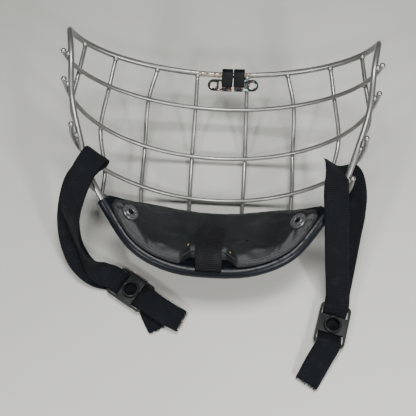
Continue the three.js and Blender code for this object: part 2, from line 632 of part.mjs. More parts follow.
const RIGHT_STRAP = [
  { at: [66, -127.5, 4.2], across: [1, -0.45, 0] },
  { at: [71.5, -117.5, 6.2], across: [1, -0.45, 0] },
  { at: [76.5, -108.5, 8.2], across: [1, -0.38, 0] },
  ...alongBuckle(RIGHT_BUCKLE, THREADED),
  { at: [85.6, -66, 17.5], across: [1, -0.1, 0] },
  { at: [83, -54, 31.5], across: [1, 0, 0] },
  { at: [80.5, -42, 47], across: [1, 0.02, 0.05] },
  { at: [78.5, -30, 60], across: [1, 0, 0.05] },
  { at: [77, -20, 67.5], across: [1, -0.05, 0] },
  { at: [76.8, -10, 71.5], across: [0.92, -0.1, -0.3] },
  { at: [75.8, -2, 69.9], across: [0.78, -0.1, -0.6] },
  { at: [77, 2.8, 64.3], across: [0.8, -0.05, -0.58] },
  { at: [82.2, 4, 58], across: [0.97, 0, -0.15] },
  { at: [89, 2.2, 54], across: [0.95, -0.1, 0.1] },
  { at: [93, -7, 47.5], across: [0.9, -0.1, 0.3] },
  { at: [93.3, -19, 40], across: [0.95, 0, 0.3] },
  { at: [91.5, -33, 31], across: [1, 0, 0.15] },
  { at: [90, -47, 21], across: [1, 0, 0.05] },
  { at: [88.5, -60, 11], across: [1, -0.1, 0] },
  { at: [87.4, -68.5, 4.6], across: [1, -0.18, 0] },
  ...alongBuckle(RIGHT_BUCKLE, UNDERNEATH),
  { at: [77, -107.3, GROUND_LAYER], across: [1, -0.38, 0] },
  { at: [71.5, -117, GROUND_LAYER + 0.2], across: [1, -0.45, 0] },
  { at: [67.4, -125.3, GROUND_LAYER + 0.1], across: [1, -0.45, 0] },
];
const STRAP_STEPS = 110;
addMesh('left_strap', webbing(LEFT_STRAP, WEBBING_WIDTH, WEBBING_THICKNESS, STRAP_STEPS), webbingFinish);
addMesh('right_strap', webbing(RIGHT_STRAP, WEBBING_WIDTH, WEBBING_THICKNESS, STRAP_STEPS), webbingFinish);

// A rectangle with rounded corners, as points, about (x, 0).
function roundedRectangle(x, halfLength, halfWidth, corner) {
  const points = [];
  for (let i = 0; i < 16; i++) {
    const quarter = Math.floor(i / 4);
    const angle = (quarter + (i % 4) / 3) * (Math.PI / 2);
    const outX = quarter === 0 || quarter === 3 ? 1 : -1;
    const outY = quarter < 2 ? 1 : -1;
    points.push(new THREE.Vector2(
      x + outX * (halfLength - corner) + corner * Math.cos(angle),
      outY * (halfWidth - corner) + corner * Math.sin(angle)));
  }
  return points;
}

function bucklePlate() {
  const shape = new THREE.Shape(roundedRectangle(0, BUCKLE_LENGTH / 2, BUCKLE_WIDTH / 2, 3));
  for (const side of [-1, 1]) {
    shape.holes.push(new THREE.Path(roundedRectangle(
      side * slotMiddle, BUCKLE_SLOT / 2, WEBBING_WIDTH / 2 + BUCKLE_CLEARANCE, 0.6)));
  }
  shape.holes.push(new THREE.Path(circle(SOCKET_BORE / 2, 20)));
  return new THREE.ExtrudeGeometry(shape, { depth: BUCKLE_THICKNESS, bevelEnabled: false });
}

const socketProfile = [
  [SOCKET_BORE / 2, 0], [SOCKET_RING / 2, 0], [SOCKET_RING / 2, SOCKET_HEIGHT * 0.6],
  [SOCKET_RING / 2 - 0.8, SOCKET_HEIGHT], [SOCKET_BORE / 2 + 0.6, SOCKET_HEIGHT],
  [SOCKET_BORE / 2, SOCKET_HEIGHT * 0.7], [SOCKET_BORE / 2, 0],
].map(([r, y]) => new THREE.Vector2(r, y));

for (const [label, place] of [['left', LEFT_BUCKLE], ['right', RIGHT_BUCKLE]]) {
  const plate = addMesh(`${label}_buckle`, bucklePlate(), buckleFinish);
  plate.position.set(...place.at, BUCKLE_BASE);
  plate.rotation.z = THREE.MathUtils.degToRad(place.turn);
  const socket = addMesh(`${label}_buckle_socket`, new THREE.LatheGeometry(socketProfile, 20), snapFinish);
  socket.position.set(...place.at, BUCKLE_BASE + BUCKLE_THICKNESS + WELD_GAP);
  socket.rotation.x = Math.PI / 2;
}

// ---- Placing ---------------------------------------------------------------------------------------------
// The origin is the middle of the bottom of the whole piece's box.
const bounds = new THREE.Box3().setFromObject(mask, true);
const middle = bounds.getCenter(new THREE.Vector3());
mask.children.forEach((mesh) => mesh.position.sub(new THREE.Vector3(middle.x, middle.y, bounds.min.z)));

export default mask;
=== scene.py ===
import math
import random

import bmesh
import bpy
from mathutils import Matrix, Vector, noise
from mathutils.bvhtree import BVHTree


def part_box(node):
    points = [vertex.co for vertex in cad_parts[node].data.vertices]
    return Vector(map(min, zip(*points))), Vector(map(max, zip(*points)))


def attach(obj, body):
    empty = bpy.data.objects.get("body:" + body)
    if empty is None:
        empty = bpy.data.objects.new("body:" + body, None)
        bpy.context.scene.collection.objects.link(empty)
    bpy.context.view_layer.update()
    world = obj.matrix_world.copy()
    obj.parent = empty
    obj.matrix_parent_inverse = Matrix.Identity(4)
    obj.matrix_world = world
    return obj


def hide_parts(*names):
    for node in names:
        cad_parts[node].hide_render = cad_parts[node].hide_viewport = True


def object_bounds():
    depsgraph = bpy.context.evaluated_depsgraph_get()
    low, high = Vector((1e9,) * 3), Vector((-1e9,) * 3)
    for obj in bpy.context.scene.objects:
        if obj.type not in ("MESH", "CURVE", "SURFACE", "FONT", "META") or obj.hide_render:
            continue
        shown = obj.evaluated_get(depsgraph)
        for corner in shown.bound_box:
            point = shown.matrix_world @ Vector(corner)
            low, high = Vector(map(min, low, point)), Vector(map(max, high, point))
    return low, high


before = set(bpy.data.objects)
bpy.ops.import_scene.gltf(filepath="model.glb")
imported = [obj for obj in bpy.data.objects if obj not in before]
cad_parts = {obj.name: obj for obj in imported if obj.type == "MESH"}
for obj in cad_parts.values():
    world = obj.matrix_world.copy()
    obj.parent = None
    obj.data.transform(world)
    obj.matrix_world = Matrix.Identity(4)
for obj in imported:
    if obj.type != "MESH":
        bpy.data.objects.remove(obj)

cad_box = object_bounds()
MM = 0.001

# ---- Camera, floor and lamps -------------------------------------------------------------------------------
# The mask lies on a pale sheet of backdrop paper, seen steeply from the chin side. Two soft boxes stand to
# the left and right, a larger one hangs over it, and a faint one fills in low at the near right.
CAMERA_TARGET = (-5.565, -4.482, 1.7)
CAMERA_ELEVATION, CAMERA_AZIMUTH, CAMERA_DISTANCE, CAMERA_LENS = 66.191, 3.221, 0.502286, 59.108
MASK_MIDDLE = (0.0, 38.25, 6.0)
FLOOR_HALF, FLOOR_GAP = 3.0, 0.0002


def mask_origin():
    """Where the middle of the cage's own drawing lies: cross wire 2 is symmetric and its box is known."""
    low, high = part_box("cross_wire_2")
    return Vector(((low.x + high.x) / 2, (low.y + high.y) / 2, low.z))


MIDDLE = mask_origin() - Vector(MASK_MIDDLE) * MM


def at(x, y, z):
    """A point of the drawing, given in millimetres, as a place in the frame."""
    return MIDDLE + Vector((x, y, z)) * MM


def add_camera():
    camera = bpy.data.objects.new("camera", bpy.data.cameras.new("camera"))
    bpy.context.scene.collection.objects.link(camera)
    elevation, azimuth = math.radians(CAMERA_ELEVATION), math.radians(CAMERA_AZIMUTH)
    flat = math.cos(elevation)
    away = Vector((math.sin(azimuth) * flat, -math.cos(azimuth) * flat, math.sin(elevation)))
    camera.location = at(*CAMERA_TARGET) + away * CAMERA_DISTANCE
    camera.rotation_euler = (-away).to_track_quat("-Z", "Y").to_euler()
    camera.data.sensor_width = 36.0
    camera.data.lens = CAMERA_LENS
    camera.data.clip_start = 0.02
    bpy.context.scene.camera = camera


add_camera()


def add_lamp(name, place, target, size, watts):
    lamp = bpy.data.lights.new(name, "AREA")
    lamp.shape = "RECTANGLE"
    lamp.size, lamp.size_y = size
    lamp.energy = watts
    holder = bpy.data.objects.new(name, lamp)
    holder.location = place
    holder.rotation_euler = (Vector(target) - Vector(place)).to_track_quat("-Z", "Y").to_euler()
    bpy.context.scene.collection.objects.link(holder)


add_lamp("lamp_left", (-0.5, -0.72, 0.72), (0.0, -0.12, 0.0), (0.12, 0.16), 6.0)
add_lamp("lamp_right", (0.56, -0.7, 0.72), (0.04, -0.12, 0.0), (0.12, 0.16), 7.0)
add_lamp("lamp_over", (0.02, 0.12, 1.0), (0.0, -0.1, 0.0), (0.36, 0.28), 11.0)
add_lamp("lamp_near", (0.3, -0.42, 0.3), (0.2, -0.3, 0.0), (0.3, 0.2), 0.9)

world = bpy.data.worlds.new("studio")
world.use_nodes = True
world.node_tree.nodes["Background"].inputs["Color"].default_value = (0.86, 0.88, 0.9, 1.0)
world.node_tree.nodes["Background"].inputs["Strength"].default_value = 0.13
bpy.context.scene.world = world


def new_object(name, mesh):
    piece = bpy.data.objects.new(name, mesh)
    bpy.context.scene.collection.objects.link(piece)
    return piece


def from_bmesh(name, bm):
    """Ends a bmesh as an object whose faces are shaded smooth."""
    mesh = bpy.data.meshes.new(name)
    bm.to_mesh(mesh)
    bm.free()
    for face in mesh.polygons:
        face.use_smooth = True
    return new_object(name, mesh)


class Shader:
    """A material being wired: nodes are added by type and joined by socket names."""

    def __init__(self, name):
        self.material = bpy.data.materials.new(name)
        self.material.use_nodes = True
        self.tree = self.material.node_tree
        self.surface = self.tree.nodes["Principled BSDF"]

    def node(self, kind, **settings):
        node = self.tree.nodes.new(kind)
        for key, value in settings.items():
            setattr(node, key, value)
        return node

    def link(self, source, target):
        self.tree.links.new(source, target)

    def set(self, **values):
        for key, value in values.items():
            self.surface.inputs[key.replace("_", " ")].default_value = value

    def coordinates(self):
        return self.node("ShaderNodeTexCoord").outputs["Object"]

    def noise(self, scale, detail=4.0, vector=None):
        node = self.node("ShaderNodeTexNoise")
        node.inputs["Scale"].default_value = scale
        node.inputs["Detail"].default_value = detail
        node.inputs["Roughness"].default_value = 0.55
        self.link(vector or self.coordinates(), node.inputs["Vector"])
        return node.outputs["Fac"]

    def ramp(self, source, stops):
        node = self.node("ShaderNodeValToRGB")
        elements = node.color_ramp.elements
        while len(elements) < len(stops):
            elements.new(0.5)
        for element, (place, colour) in zip(elements, stops):
            element.position = place
            element.color = (*colour, 1.0)
        self.link(source, node.inputs["Fac"])
        return node.outputs["Color"]

    def mix(self, factor, first, second):
        node = self.node("ShaderNodeMix", data_type="RGBA")
        self.link(factor, node.inputs["Factor"])
        for value, socket in ((first, node.inputs[6]), (second, node.inputs[7])):
            if isinstance(value, tuple):
                socket.default_value = (*value, 1.0)
            else:
                self.link(value, socket)
        return node.outputs[2]

    def math(self, operation, first, second=0.5, clamp=False):
        node = self.node("ShaderNodeMath", operation=operation, use_clamp=clamp)
        for value, socket in ((first, node.inputs[0]), (second, node.inputs[1])):
            if isinstance(value, (int, float)):
                socket.default_value = value
            else:
                self.link(value, socket)
        return node.outputs[0]

    def bump(self, height, strength, distance, normal=None):
        node = self.node("ShaderNodeBump")
        node.inputs["Strength"].default_value = strength
        node.inputs["Distance"].default_value = distance
        self.link(height, node.inputs["Height"])
        if normal is not None:
            self.link(normal, node.inputs["Normal"])
        return node.outputs["Normal"]


def backdrop_paper_painted_falloff():
    paper = Shader("backdrop_paper_painted_falloff")
    # Painted light falloff: the paper's colour is painted darker towards the far left and lighter towards the
    # near right, standing in for the fall of the lamps' light; noise adds a patchy tone.
    axes = paper.node("ShaderNodeSeparateXYZ")
    paper.link(paper.coordinates(), axes.inputs[0])
    aside = paper.math("MULTIPLY", axes.outputs["X"], 0.8)
    painted_light_and_patches = paper.math("SUBTRACT", aside, paper.math("MULTIPLY", axes.outputs["Y"], 1.5))
    painted_light_and_patches = paper.math("ADD", painted_light_and_patches, paper.math("MULTIPLY", paper.noise(6.0), 0.4))
    painted_light_and_patches = paper.math("ADD", painted_light_and_patches, 0.3, clamp=True)
    paper.link(paper.mix(painted_light_and_patches, (0.36, 0.36, 0.335), (0.58, 0.575, 0.54)), paper.surface.inputs["Base Color"])
    paper.set(Roughness=0.85)
    return paper.material


bm = bmesh.new()
bmesh.ops.create_grid(bm, x_segments=2, y_segments=2, size=FLOOR_HALF)
bmesh.ops.translate(bm, verts=bm.verts, vec=Vector((0, 0, cad_box[0].z - FLOOR_GAP)))
floor = from_bmesh("floor", bm)
floor.data.materials.append(backdrop_paper_painted_falloff())

# ---- Cage wires --------------------------------------------------------------------------------------------
# The frame is one thick steel rod bent round the face; four thinner rods cross it and eight stand upright
# between them. All are cut and bent cold, spot welded where they cross, and plated a satin silver.
FRAME_RADIUS = 2.0
GRID_RADIUS = 1.5
END_BALL = 1.3
BROW_WEAR_MIDDLE, BROW_WEAR_REACH, BROW_WEAR_FROM = 3.0, 42.0, 80.0
CROSSING_REACH, CROSSING_BEAD = 4.6, 1.75
BUTT_REACH, BUTT_BEAD = 6.0, 2.05
RAIL_REACH, RAIL_BEAD = 7.0, 2.1


def bezier(p0, p1, p2, p3, t):
    s = 1 - t
    return p0 * s ** 3 + p1 * 3 * s * s * t + p2 * 3 * s * t * t + p3 * t ** 3


def arch(centre, end, half_width, belly, leg, splay, steps=40):
    """Half an arch from its middle to its right tip, in millimetres."""
    middle = Vector((0, *centre))
    tip = Vector((half_width, *end))
    rise = Vector((0, tip.y - middle.y, tip.z - middle.z)).normalized()
    lean = math.radians(splay)
    along = Vector((math.sin(lean), 0, 0)) + rise * math.cos(lean)
    first = Vector((belly, *centre))
    second = tip - along * leg
    return [bezier(middle, first, second, tip, i / steps) for i in range(steps + 1)]


def mirrored(points):
    return [Vector((-p.x, p.y, p.z)) for p in points]


def span_point(a, b, c, d, share):
    """A point between b and c on the smooth curve through a, b, c and d."""
    knots = [0.0]
    for p, q in ((a, b), (b, c), (c, d)):
        knots.append(knots[-1] + max(math.sqrt((q - p).length), 1e-3))
    t = knots[1] + (knots[2] - knots[1]) * share
    first = a.lerp(b, t / knots[1])
    second = b.lerp(c, (t - knots[1]) / (knots[2] - knots[1]))
    third = c.lerp(d, (t - knots[2]) / (knots[3] - knots[2]))
    fourth = first.lerp(second, t / knots[2])
    fifth = second.lerp(third, (t - knots[1]) / (knots[3] - knots[1]))
    return fourth.lerp(fifth, (t - knots[1]) / (knots[2] - knots[1]))


def through(points, spacing, closed=False):
    """A smooth curve through points, with a station about every so many millimetres."""
    pts = [Vector(p) for p in points]
    if closed:
        pts = [pts[-1]] + pts + pts[:2]
    else:
        pts = [pts[0] * 2 - pts[1]] + pts + [pts[-1] * 2 - pts[-2]]
    out = []
    for a, b, c, d in zip(pts, pts[1:], pts[2:], pts[3:]):
        count = max(1, round((c - b).length / spacing))
        out += [span_point(a, b, c, d, i / count) for i in range(count)]
    if not closed:
        out.append(Vector(points[-1]))
    return out


BROW = arch((89, 36), (85.5, 84.5), 104, 44, 32, 20)
CROSS = [
    arch((65, 26), (59.5, 97), 103, 48, 42, 3),
    arch((33.5, 7.5), (43, 89.5), 102, 42, 59, 0),
    arch((0, 4.8), (11.5, 86), 93.5, 49, 44, -11),
    arch((-20, 12), (-7, 66), 88, 48, 35, -8),
]
SIDE_RAIL = [
    (102.6, 80, 91.5), (98.8, 60, 93.2), (97, 35, 82), (90, 10, 72), (82, -12, 60),
    (68.5, -32, 49.5), (50, -54, 44.5), (27, -64.5, 42),
]
from_chin = [Vector(p) for p in reversed(SIDE_RAIL)] + [BROW[-1]] + BROW[-4:0:-3]
frame_loop = [Vector((0, -67, 41.5))] + from_chin + [BROW[0]] + mirrored(from_chin)[::-1]
frame_line = through(frame_loop, 2.5, closed=True)


def draw_out(bm, ring, home, place):
    """Draws a ring of edges out into a new ring, moved from one place to the next."""
    made = bmesh.ops.extrude_edge_only(bm, edges=ring)["geom"]
    verts = {v for v in made if isinstance(v, bmesh.types.BMVert)}
    bmesh.ops.transform(bm, matrix=place @ home.inverted(), verts=list(verts))
    return [e for e in made if isinstance(e, bmesh.types.BMEdge) and verts.issuperset(e.verts)]


def tube(points, radius, sides=16, closed=False, round_ends=False):
    """A round rod along points: a circle drawn out station by station, square to the way."""
    bm = bmesh.new()
    count = len(points)
    ring, home, turn, last_way, first = None, None, None, None, None
    for i, point in enumerate(points):
        before = points[i - 1] if i or closed else point
        after = points[(i + 1) % count] if i < count - 1 or closed else point
        way = (after - before).normalized()
        turn = way.to_track_quat("Z", "Y") if turn is None else last_way.rotation_difference(way) @ turn
        last_way = way
        place = Matrix.Translation(at(*point)) @ turn.to_matrix().to_4x4()
        if ring is None:
            bmesh.ops.create_circle(bm, segments=sides, radius=radius * MM, matrix=place)
            ring = first = list(bm.edges)
        else:
            ring = draw_out(bm, ring, home, place)
        home = place
    if closed:
        bmesh.ops.bridge_loops(bm, edges=list(first) + list(ring))
    else:
        for loop, end in ((first, points[0]), (ring, points[-1])):
            bmesh.ops.contextual_create(bm, geom=list(loop))
            if round_ends:
                bmesh.ops.create_icosphere(bm, subdivisions=3, radius=radius * END_BALL * MM,
                                           matrix=Matrix.Translation(at(*end)))
    bmesh.ops.recalc_face_normals(bm, faces=bm.faces)
    return bm


def new_group(name, numbers, output):
    """A node group that takes a Vector and some numbers and puts out one value over the surface."""
    group = bpy.data.node_groups.new(name, "ShaderNodeTree")
    face = group.interface
    face.new_socket(name="Vector", in_out="INPUT", socket_type="NodeSocketVector")
    for label, value in numbers.items():
        face.new_socket(name=label, in_out="INPUT", socket_type="NodeSocketFloat").default_value = value
    face.new_socket(name=output, in_out="OUTPUT", socket_type="NodeSocketFloat")
    return group, group.nodes.new("NodeGroupInput"), group.nodes.new("NodeGroupOutput")


def wear_group():
    """Scattered patches: a mask that is 1 where a coat has gone, from a cover share and a patch size."""
    group, enter, leave = new_group("worn_patches", {"Cover": 0.4, "Patch Scale": 300.0}, "Mask")
    nodes, links = group.nodes, group.links
    patches = nodes.new("ShaderNodeTexNoise")
    patches.inputs["Detail"].default_value = 5.0
    patches.inputs["Roughness"].default_value = 0.65
    links.new(enter.outputs["Vector"], patches.inputs["Vector"])
    links.new(enter.outputs["Patch Scale"], patches.inputs["Scale"])
    total = nodes.new("ShaderNodeMath")
    total.operation = "ADD"
    links.new(patches.outputs["Fac"], total.inputs[0])
    links.new(enter.outputs["Cover"], total.inputs[1])
    edge = nodes.new("ShaderNodeMapRange")
    edge.inputs["From Min"].default_value = 0.96
    edge.inputs["From Max"].default_value = 1.04
    links.new(total.outputs[0], edge.inputs["Value"])
    links.new(edge.outputs["Result"], leave.inputs["Mask"])
    return group


worn_patches = wear_group()


def patches(shader, cover, scale, vector=None):
    node = shader.node("ShaderNodeGroup")
    node.node_tree = worn_patches
    shader.link(vector or shader.coordinates(), node.inputs["Vector"])
    node.inputs["Patch Scale"].default_value = scale
    if isinstance(cover, float):
        node.inputs["Cover"].default_value = cover
    else:
        shader.link(cover, node.inputs["Cover"])
    return node.outputs["Mask"]


def satin_wire_finish(name, worn_brow=False):
    wire = Shader(name)
    place = wire.coordinates()
    colour = wire.ramp(wire.noise(90.0, vector=place),
                       [(0.3, (0.24, 0.24, 0.23)), (0.7, (0.34, 0.34, 0.328))])
    if worn_brow:
        axes = wire.node("ShaderNodeSeparateXYZ")
        wire.link(place, axes.inputs[0])
        near = wire.math("SUBTRACT", axes.outputs["X"], at(BROW_WEAR_MIDDLE, 0, 0).x)
        near = wire.math("DIVIDE", wire.math("ABSOLUTE", near), BROW_WEAR_REACH * MM)
        near = wire.math("SUBTRACT", 1.0, wire.math("POWER", near, 4.0), clamp=True)
        brow = wire.math("GREATER_THAN", axes.outputs["Y"], at(0, BROW_WEAR_FROM, 0).y)
        near = wire.math("MULTIPLY", near, brow)
        cover = wire.math("SUBTRACT", wire.math("MULTIPLY", near, 1.05), 0.53)
        lime = patches(wire, cover, 260.0, place)
        colour = wire.mix(lime, colour, (0.3, 0.26, 0.19))
        rust = patches(wire, wire.math("SUBTRACT", cover, 0.06), 520.0, place)
        colour = wire.mix(rust, colour, (0.11, 0.062, 0.035))
        metal = wire.math("MULTIPLY", wire.math("SUBTRACT", 1.0, lime), 0.86)
        rough = wire.math("ADD", wire.math("MULTIPLY", lime, 0.4), 0.34)
        wire.link(rough, wire.surface.inputs["Roughness"])
        wire.link(wire.bump(lime, 0.5, 0.0002), wire.surface.inputs["Normal"])
        wire.link(metal, wire.surface.inputs["Metallic"])
    else:
        wire.set(Metallic=0.86)
        fine = wire.noise(700.0, vector=place)
        wire.link(wire.math("ADD", wire.math("MULTIPLY", fine, 0.16), 0.26), wire.surface.inputs["Roughness"])
        wire.link(wire.bump(fine, 0.12, 0.0001), wire.surface.inputs["Normal"])
    wire.link(colour, wire.surface.inputs["Base Color"])
    return wire.material


satin_wire = satin_wire_finish("satin_wire")
worn_wire = satin_wire_finish("satin_wire_worn_at_brow", worn_brow=True)


def finish_piece(piece, material, body, slot, *nodes):
    """Gives a piece its finish, the body that it moves with and the solids that it stands for."""
    piece.data.materials.append(material)
    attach(piece, body)
    if nodes:
        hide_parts(*nodes)
    return piece


def spot(co):
    """A place to the nearest thousandth of a millimetre, for finding the same point again."""
    return tuple(round(c, 6) for c in co)


def rod_line(node, sides=8):
    """The middle line of an upright, from the rings of its solid, in drawing millimetres."""
    corners = {spot(v.co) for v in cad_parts[node].data.vertices}
    rows = sorted((Vector(c) for c in corners), key=lambda c: c.y)
    rings = [rows[i:i + sides] for i in range(0, len(rows) - sides + 1, sides)]
    return [(sum(ring, Vector()) / len(ring) - MIDDLE) / MM for ring in rings]


finish_piece(from_bmesh("frame_rod", tube(frame_line, FRAME_RADIUS, 20, closed=True)),
             worn_wire, "cage", "wire", "frame_wire")
cross_lines = []
for i, half in enumerate(CROSS):
    cross_lines.append(mirrored(half[1:])[::-1] + half)
    rod = tube(cross_lines[-1], GRID_RADIUS, 16, round_ends=True)
    finish_piece(from_bmesh(f"cross_rod_{i + 1}", rod), satin_wire, "cage", "wire", f"cross_wire_{i + 1}")
upright_lines = []
for i in range(8):
    line = through(rod_line(f"upright_wire_{i + 1}"), 3.0)
    upright_lines.append(line)
    finish_piece(from_bmesh(f"upright_rod_{i + 1}", tube(line, GRID_RADIUS, 16, round_ends=i in (1, 6))),
                 satin_wire, "cage", "wire", f"upright_wire_{i + 1}")


def closest(first, second):
    """How close two lines pass, and the place on each where they do."""
    best = min(((a - b).length, i, j) for i, a in enumerate(first) for j, b in enumerate(second))
    return best[0], first[best[1]], second[best[2]]


def facing(place, way):
    """The matrix that stands a shape at a place of the drawing with its axis along a way."""
    return Matrix.Translation(at(*place)) @ way.to_track_quat("Z", "Y").to_matrix().to_4x4()


# Weld beads: a small bright lump of molten steel at each crossing, and a collar where an upright butts the
# frame.
bm = bmesh.new()


def add_bead(place, across, radius, squash=0.75):
    shape = Matrix.Diagonal((radius * MM, radius * MM, radius * squash * MM, 1.0))
    bmesh.ops.create_icosphere(bm, subdivisions=3, radius=1.0, matrix=facing(place, across) @ shape)


for upright in upright_lines:
    for line in cross_lines:
        gap, a, b = closest(upright, line)
        if gap < CROSSING_REACH:
            add_bead((a + b) / 2, a - b, CROSSING_BEAD)
    for end, inner in ((upright[0], upright[1]), (upright[-1], upright[-2])):
        gap, a, b = closest([end], frame_line)
        if gap < BUTT_REACH:
            add_bead(end.lerp(b, 0.25), end - inner, BUTT_BEAD, 0.9)
for line in cross_lines:
    for half in (line[:len(line) // 2], line[len(line) // 2:]):
        gap, a, b = closest(half, frame_line)
        if gap < RAIL_REACH:
            add_bead((a + b) / 2, a - b, RAIL_BEAD)
for v in bm.verts:
    v.co += v.normal * noise.noise(v.co * 900) * 0.00018
finish_piece(from_bmesh("weld_beads", bm), satin_wire, "cage", "wire")

# ---- Chin shell --------------------------------------------------------------------------------------------
# A cup of black moulded plastic, a good two millimetres thick. Its top edge is free; its lower edge swells into
# a rim that snaps over the chin of the frame rod and leaves it open underneath for the uprights.
RIM_INNER, RIM_WALL, RIM_HALF = 2.3, 1.8, 92.0
RIM_OPENING, RIM_GAP_CENTRE = 150.0, 170.0
SHELL_WALL, SHELL_VOXEL = 2.4, 0.00085
CUP_HALF, CUP_TOP, CUP_SETBACK = 71.0, (-18.0, 14.5), 3.5
CUP_RISE, CUP_RISE_WIDTH, CUP_BULGE = 24.2, 30.0, 3.0


def lengths_along(points):
    """How far along the line each point lies, from the first."""
    marks = [0.0]
    for a, b in zip(points, points[1:]):
        marks.append(marks[-1] + (b - a).length)
    return marks


marks = lengths_along(frame_line + frame_line[:1])


def chin_station(distance):
    """Place, way up and way inward on the frame rod, at a distance from the middle of the chin."""
    distance %= marks[-1]
    low, high = 0, len(marks) - 1
    while high - low > 1:
        middle = (low + high) // 2
        low, high = (low, middle) if marks[middle] > distance else (middle, high)
    a, b = frame_line[low], frame_line[(low + 1) % len(frame_line)]
    c = frame_line[(low + 2) % len(frame_line)]
    share = (distance - marks[low]) / (marks[low + 1] - marks[low])
    tangent = (b - a).normalized().lerp((c - b).normalized(), share * 0.5).normalized()
    up = Vector((0, 0, 1))
    up = (up - tangent * up.dot(tangent)).normalized()
    inward = up.cross(tangent)
    return a.lerp(b, share), up, -inward if inward.y < 0 else inward


def rim_point(distance, degrees, radius):
    place, up, inward = chin_station(distance)
    angle = math.radians(degrees)
    return place + up * radius * math.cos(angle) + inward * radius * math.sin(angle)


def cup_face(across, down):
    x = CUP_HALF * across
    rise = CUP_RISE * (math.hypot(1, x / CUP_RISE_WIDTH) - 1)
    top = Vector((x, CUP_TOP[0] - CUP_SETBACK * across ** 2, CUP_TOP[1] + rise))
    bottom = rim_point(across * (RIM_HALF - 1), 90, RIM_INNER + RIM_WALL / 2)
    face = top.lerp(bottom, down)
    face.z -= CUP_BULGE * 4 * down * (1 - down) * (1 - across ** 2)
    return face


def cup_normal(across, down):
    d = 0.01
    sideways = cup_face(across + d / 2, down) - cup_face(across - d / 2, down)
    downwards = cup_face(across, down + d / 2) - cup_face(across, down - d / 2)
    normal = sideways.cross(downwards).normalized()
    return -normal if normal.z < 0 else normal


def over_cup(across, down, height):
    """A point at a height over the cup's outer face."""
    return cup_face(across, down) + cup_normal(across, down) * height


def slab(bm, nu, nv, place):
    """A closed slab drawn from one grid: place(u, v, w) puts its lower face at w = 0 and its upper at w = 1."""
    grid = bmesh.ops.create_grid(bm, x_segments=nu, y_segments=nv, size=0.5)
    lower = grid["verts"]
    faces = list({f for v in lower for f in v.link_faces})
    made = bmesh.ops.extrude_face_region(bm, geom=faces, use_keep_orig=True)["geom"]
    upper = [v for v in made if isinstance(v, bmesh.types.BMVert)]
    for verts, w in ((lower, 0.0), (upper, 1.0)):
        for v in verts:
            v.co = at(*place(v.co.x + 0.5, v.co.y + 0.5, w))


def baked(piece):
    """Applies a piece's modifiers, so that its mesh is its final shape."""
    graph = bpy.context.evaluated_depsgraph_get()
    mesh = bpy.data.meshes.new_from_object(piece.evaluated_get(graph))
    piece.modifiers.clear()
    old = piece.data
    piece.data = mesh
    bpy.data.meshes.remove(old)
    for face in mesh.polygons:
        face.use_smooth = True


def moulded_black(name, colour, rough, gloss):
    plastic = Shader(name)
    place = plastic.coordinates()
    scuff = patches(plastic, 0.38, 160.0, place)
    scuffed = tuple(c * 2 + 0.004 for c in colour)
    plastic.link(plastic.mix(plastic.math("MULTIPLY", scuff, 0.35), colour, scuffed),
                 plastic.surface.inputs["Base Color"])
    fine = plastic.noise(900.0, detail=6.0, vector=place)
    plastic.link(plastic.math("ADD", plastic.math("MULTIPLY", scuff, 0.22), rough),
                 plastic.surface.inputs["Roughness"])
    plastic.link(plastic.bump(fine, 0.08, 0.0001), plastic.surface.inputs["Normal"])
    plastic.set(Specular_IOR_Level=gloss)
    return plastic.material


shell_black = moulded_black("shell_black", (0.003, 0.0048, 0.0075), 0.36, 0.22)
bm = bmesh.new()
slab(bm, 150, 28, lambda u, v, w: rim_point(
    (u - 0.5) * 2 * RIM_HALF,
    RIM_GAP_CENTRE + RIM_OPENING / 2 + v * (360 - RIM_OPENING),
    RIM_INNER + w * RIM_WALL))
slab(bm, 110, 34, lambda u, v, w: over_cup((u - 0.5) * 2, v, w * SHELL_WALL))
bmesh.ops.recalc_face_normals(bm, faces=bm.faces)
shell = from_bmesh("chin_cup", bm)
remesh = shell.modifiers.new("one_skin", "REMESH")
remesh.mode, remesh.voxel_size = "VOXEL", SHELL_VOXEL
soften = shell.modifiers.new("soften", "SMOOTH")
soften.factor, soften.iterations = 0.5, 4
baked(shell)
finish_piece(shell, shell_black, "cage", "shell", "chin_shell")

# ---- Chin pad ----------------------------------------------------------------------------------------------
# Soft foam sealed in black vinyl: a flat welded flange runs round the edge, the middle stands up full, and the
# skin creases where the snaps and the tape pull it down. Made over the cup, then swelled as cloth.
PAD_THICK, PAD_EAR, PAD_REACH = 8.0, 5.2, 0.96
PAD_OVERHANG, PAD_EAR_OVERHANG, PAD_NOTCH, PAD_NOTCH_SLOPE = 4.7, 8.0, 8.4, (1.2, 7.0)
PAD_BASE = SHELL_WALL + 0.3
PAD_LIP, PAD_SHOULDER = 1.6, 7.0
SNAP_ACROSS, SNAP_DOWN, SNAP_HOLD = 0.8, 0.88, 6.3
PRESSURE, GROWTH, MOST_SWELL, SWELL_STEPS = 3.0, 0.015, 5.0, 20
FOLD_FROM, FOLD_TO, FOLD_CREST, FOLD_SPREAD, FOLD_HEIGHT = 5.9, 16, 8.5, 3.4, 0.32
CREASE_FROM, CREASE_Y, CREASE_WIDTH, CREASE_LENGTH, CREASE_DEPTH = 6, -50, 2.2, 8, 0.9
TAB_OFFSET, TAB_WIDTH = -2.0, 17.0


def pad_top(across):
    return PAD_BASE + PAD_THICK - (PAD_THICK - PAD_EAR) * abs(across / PAD_REACH) ** 3


def ease(value, low, high):
    share = min(1.0, max(0.0, (value - low) / (high - low)))
    return share * share * (3 - 2 * share)


def pad_overhang(across):
    """How far the lower edge hangs over the rim: more at the ears, less behind the tape."""
    beside = abs(across * CUP_HALF - TAB_OFFSET) - TAB_WIDTH / 2
    hang = PAD_OVERHANG + (PAD_EAR_OVERHANG - PAD_OVERHANG) * ease(abs(across), 0.5, 0.9)
    return hang - PAD_NOTCH * (1 - ease(beside, *PAD_NOTCH_SLOPE))


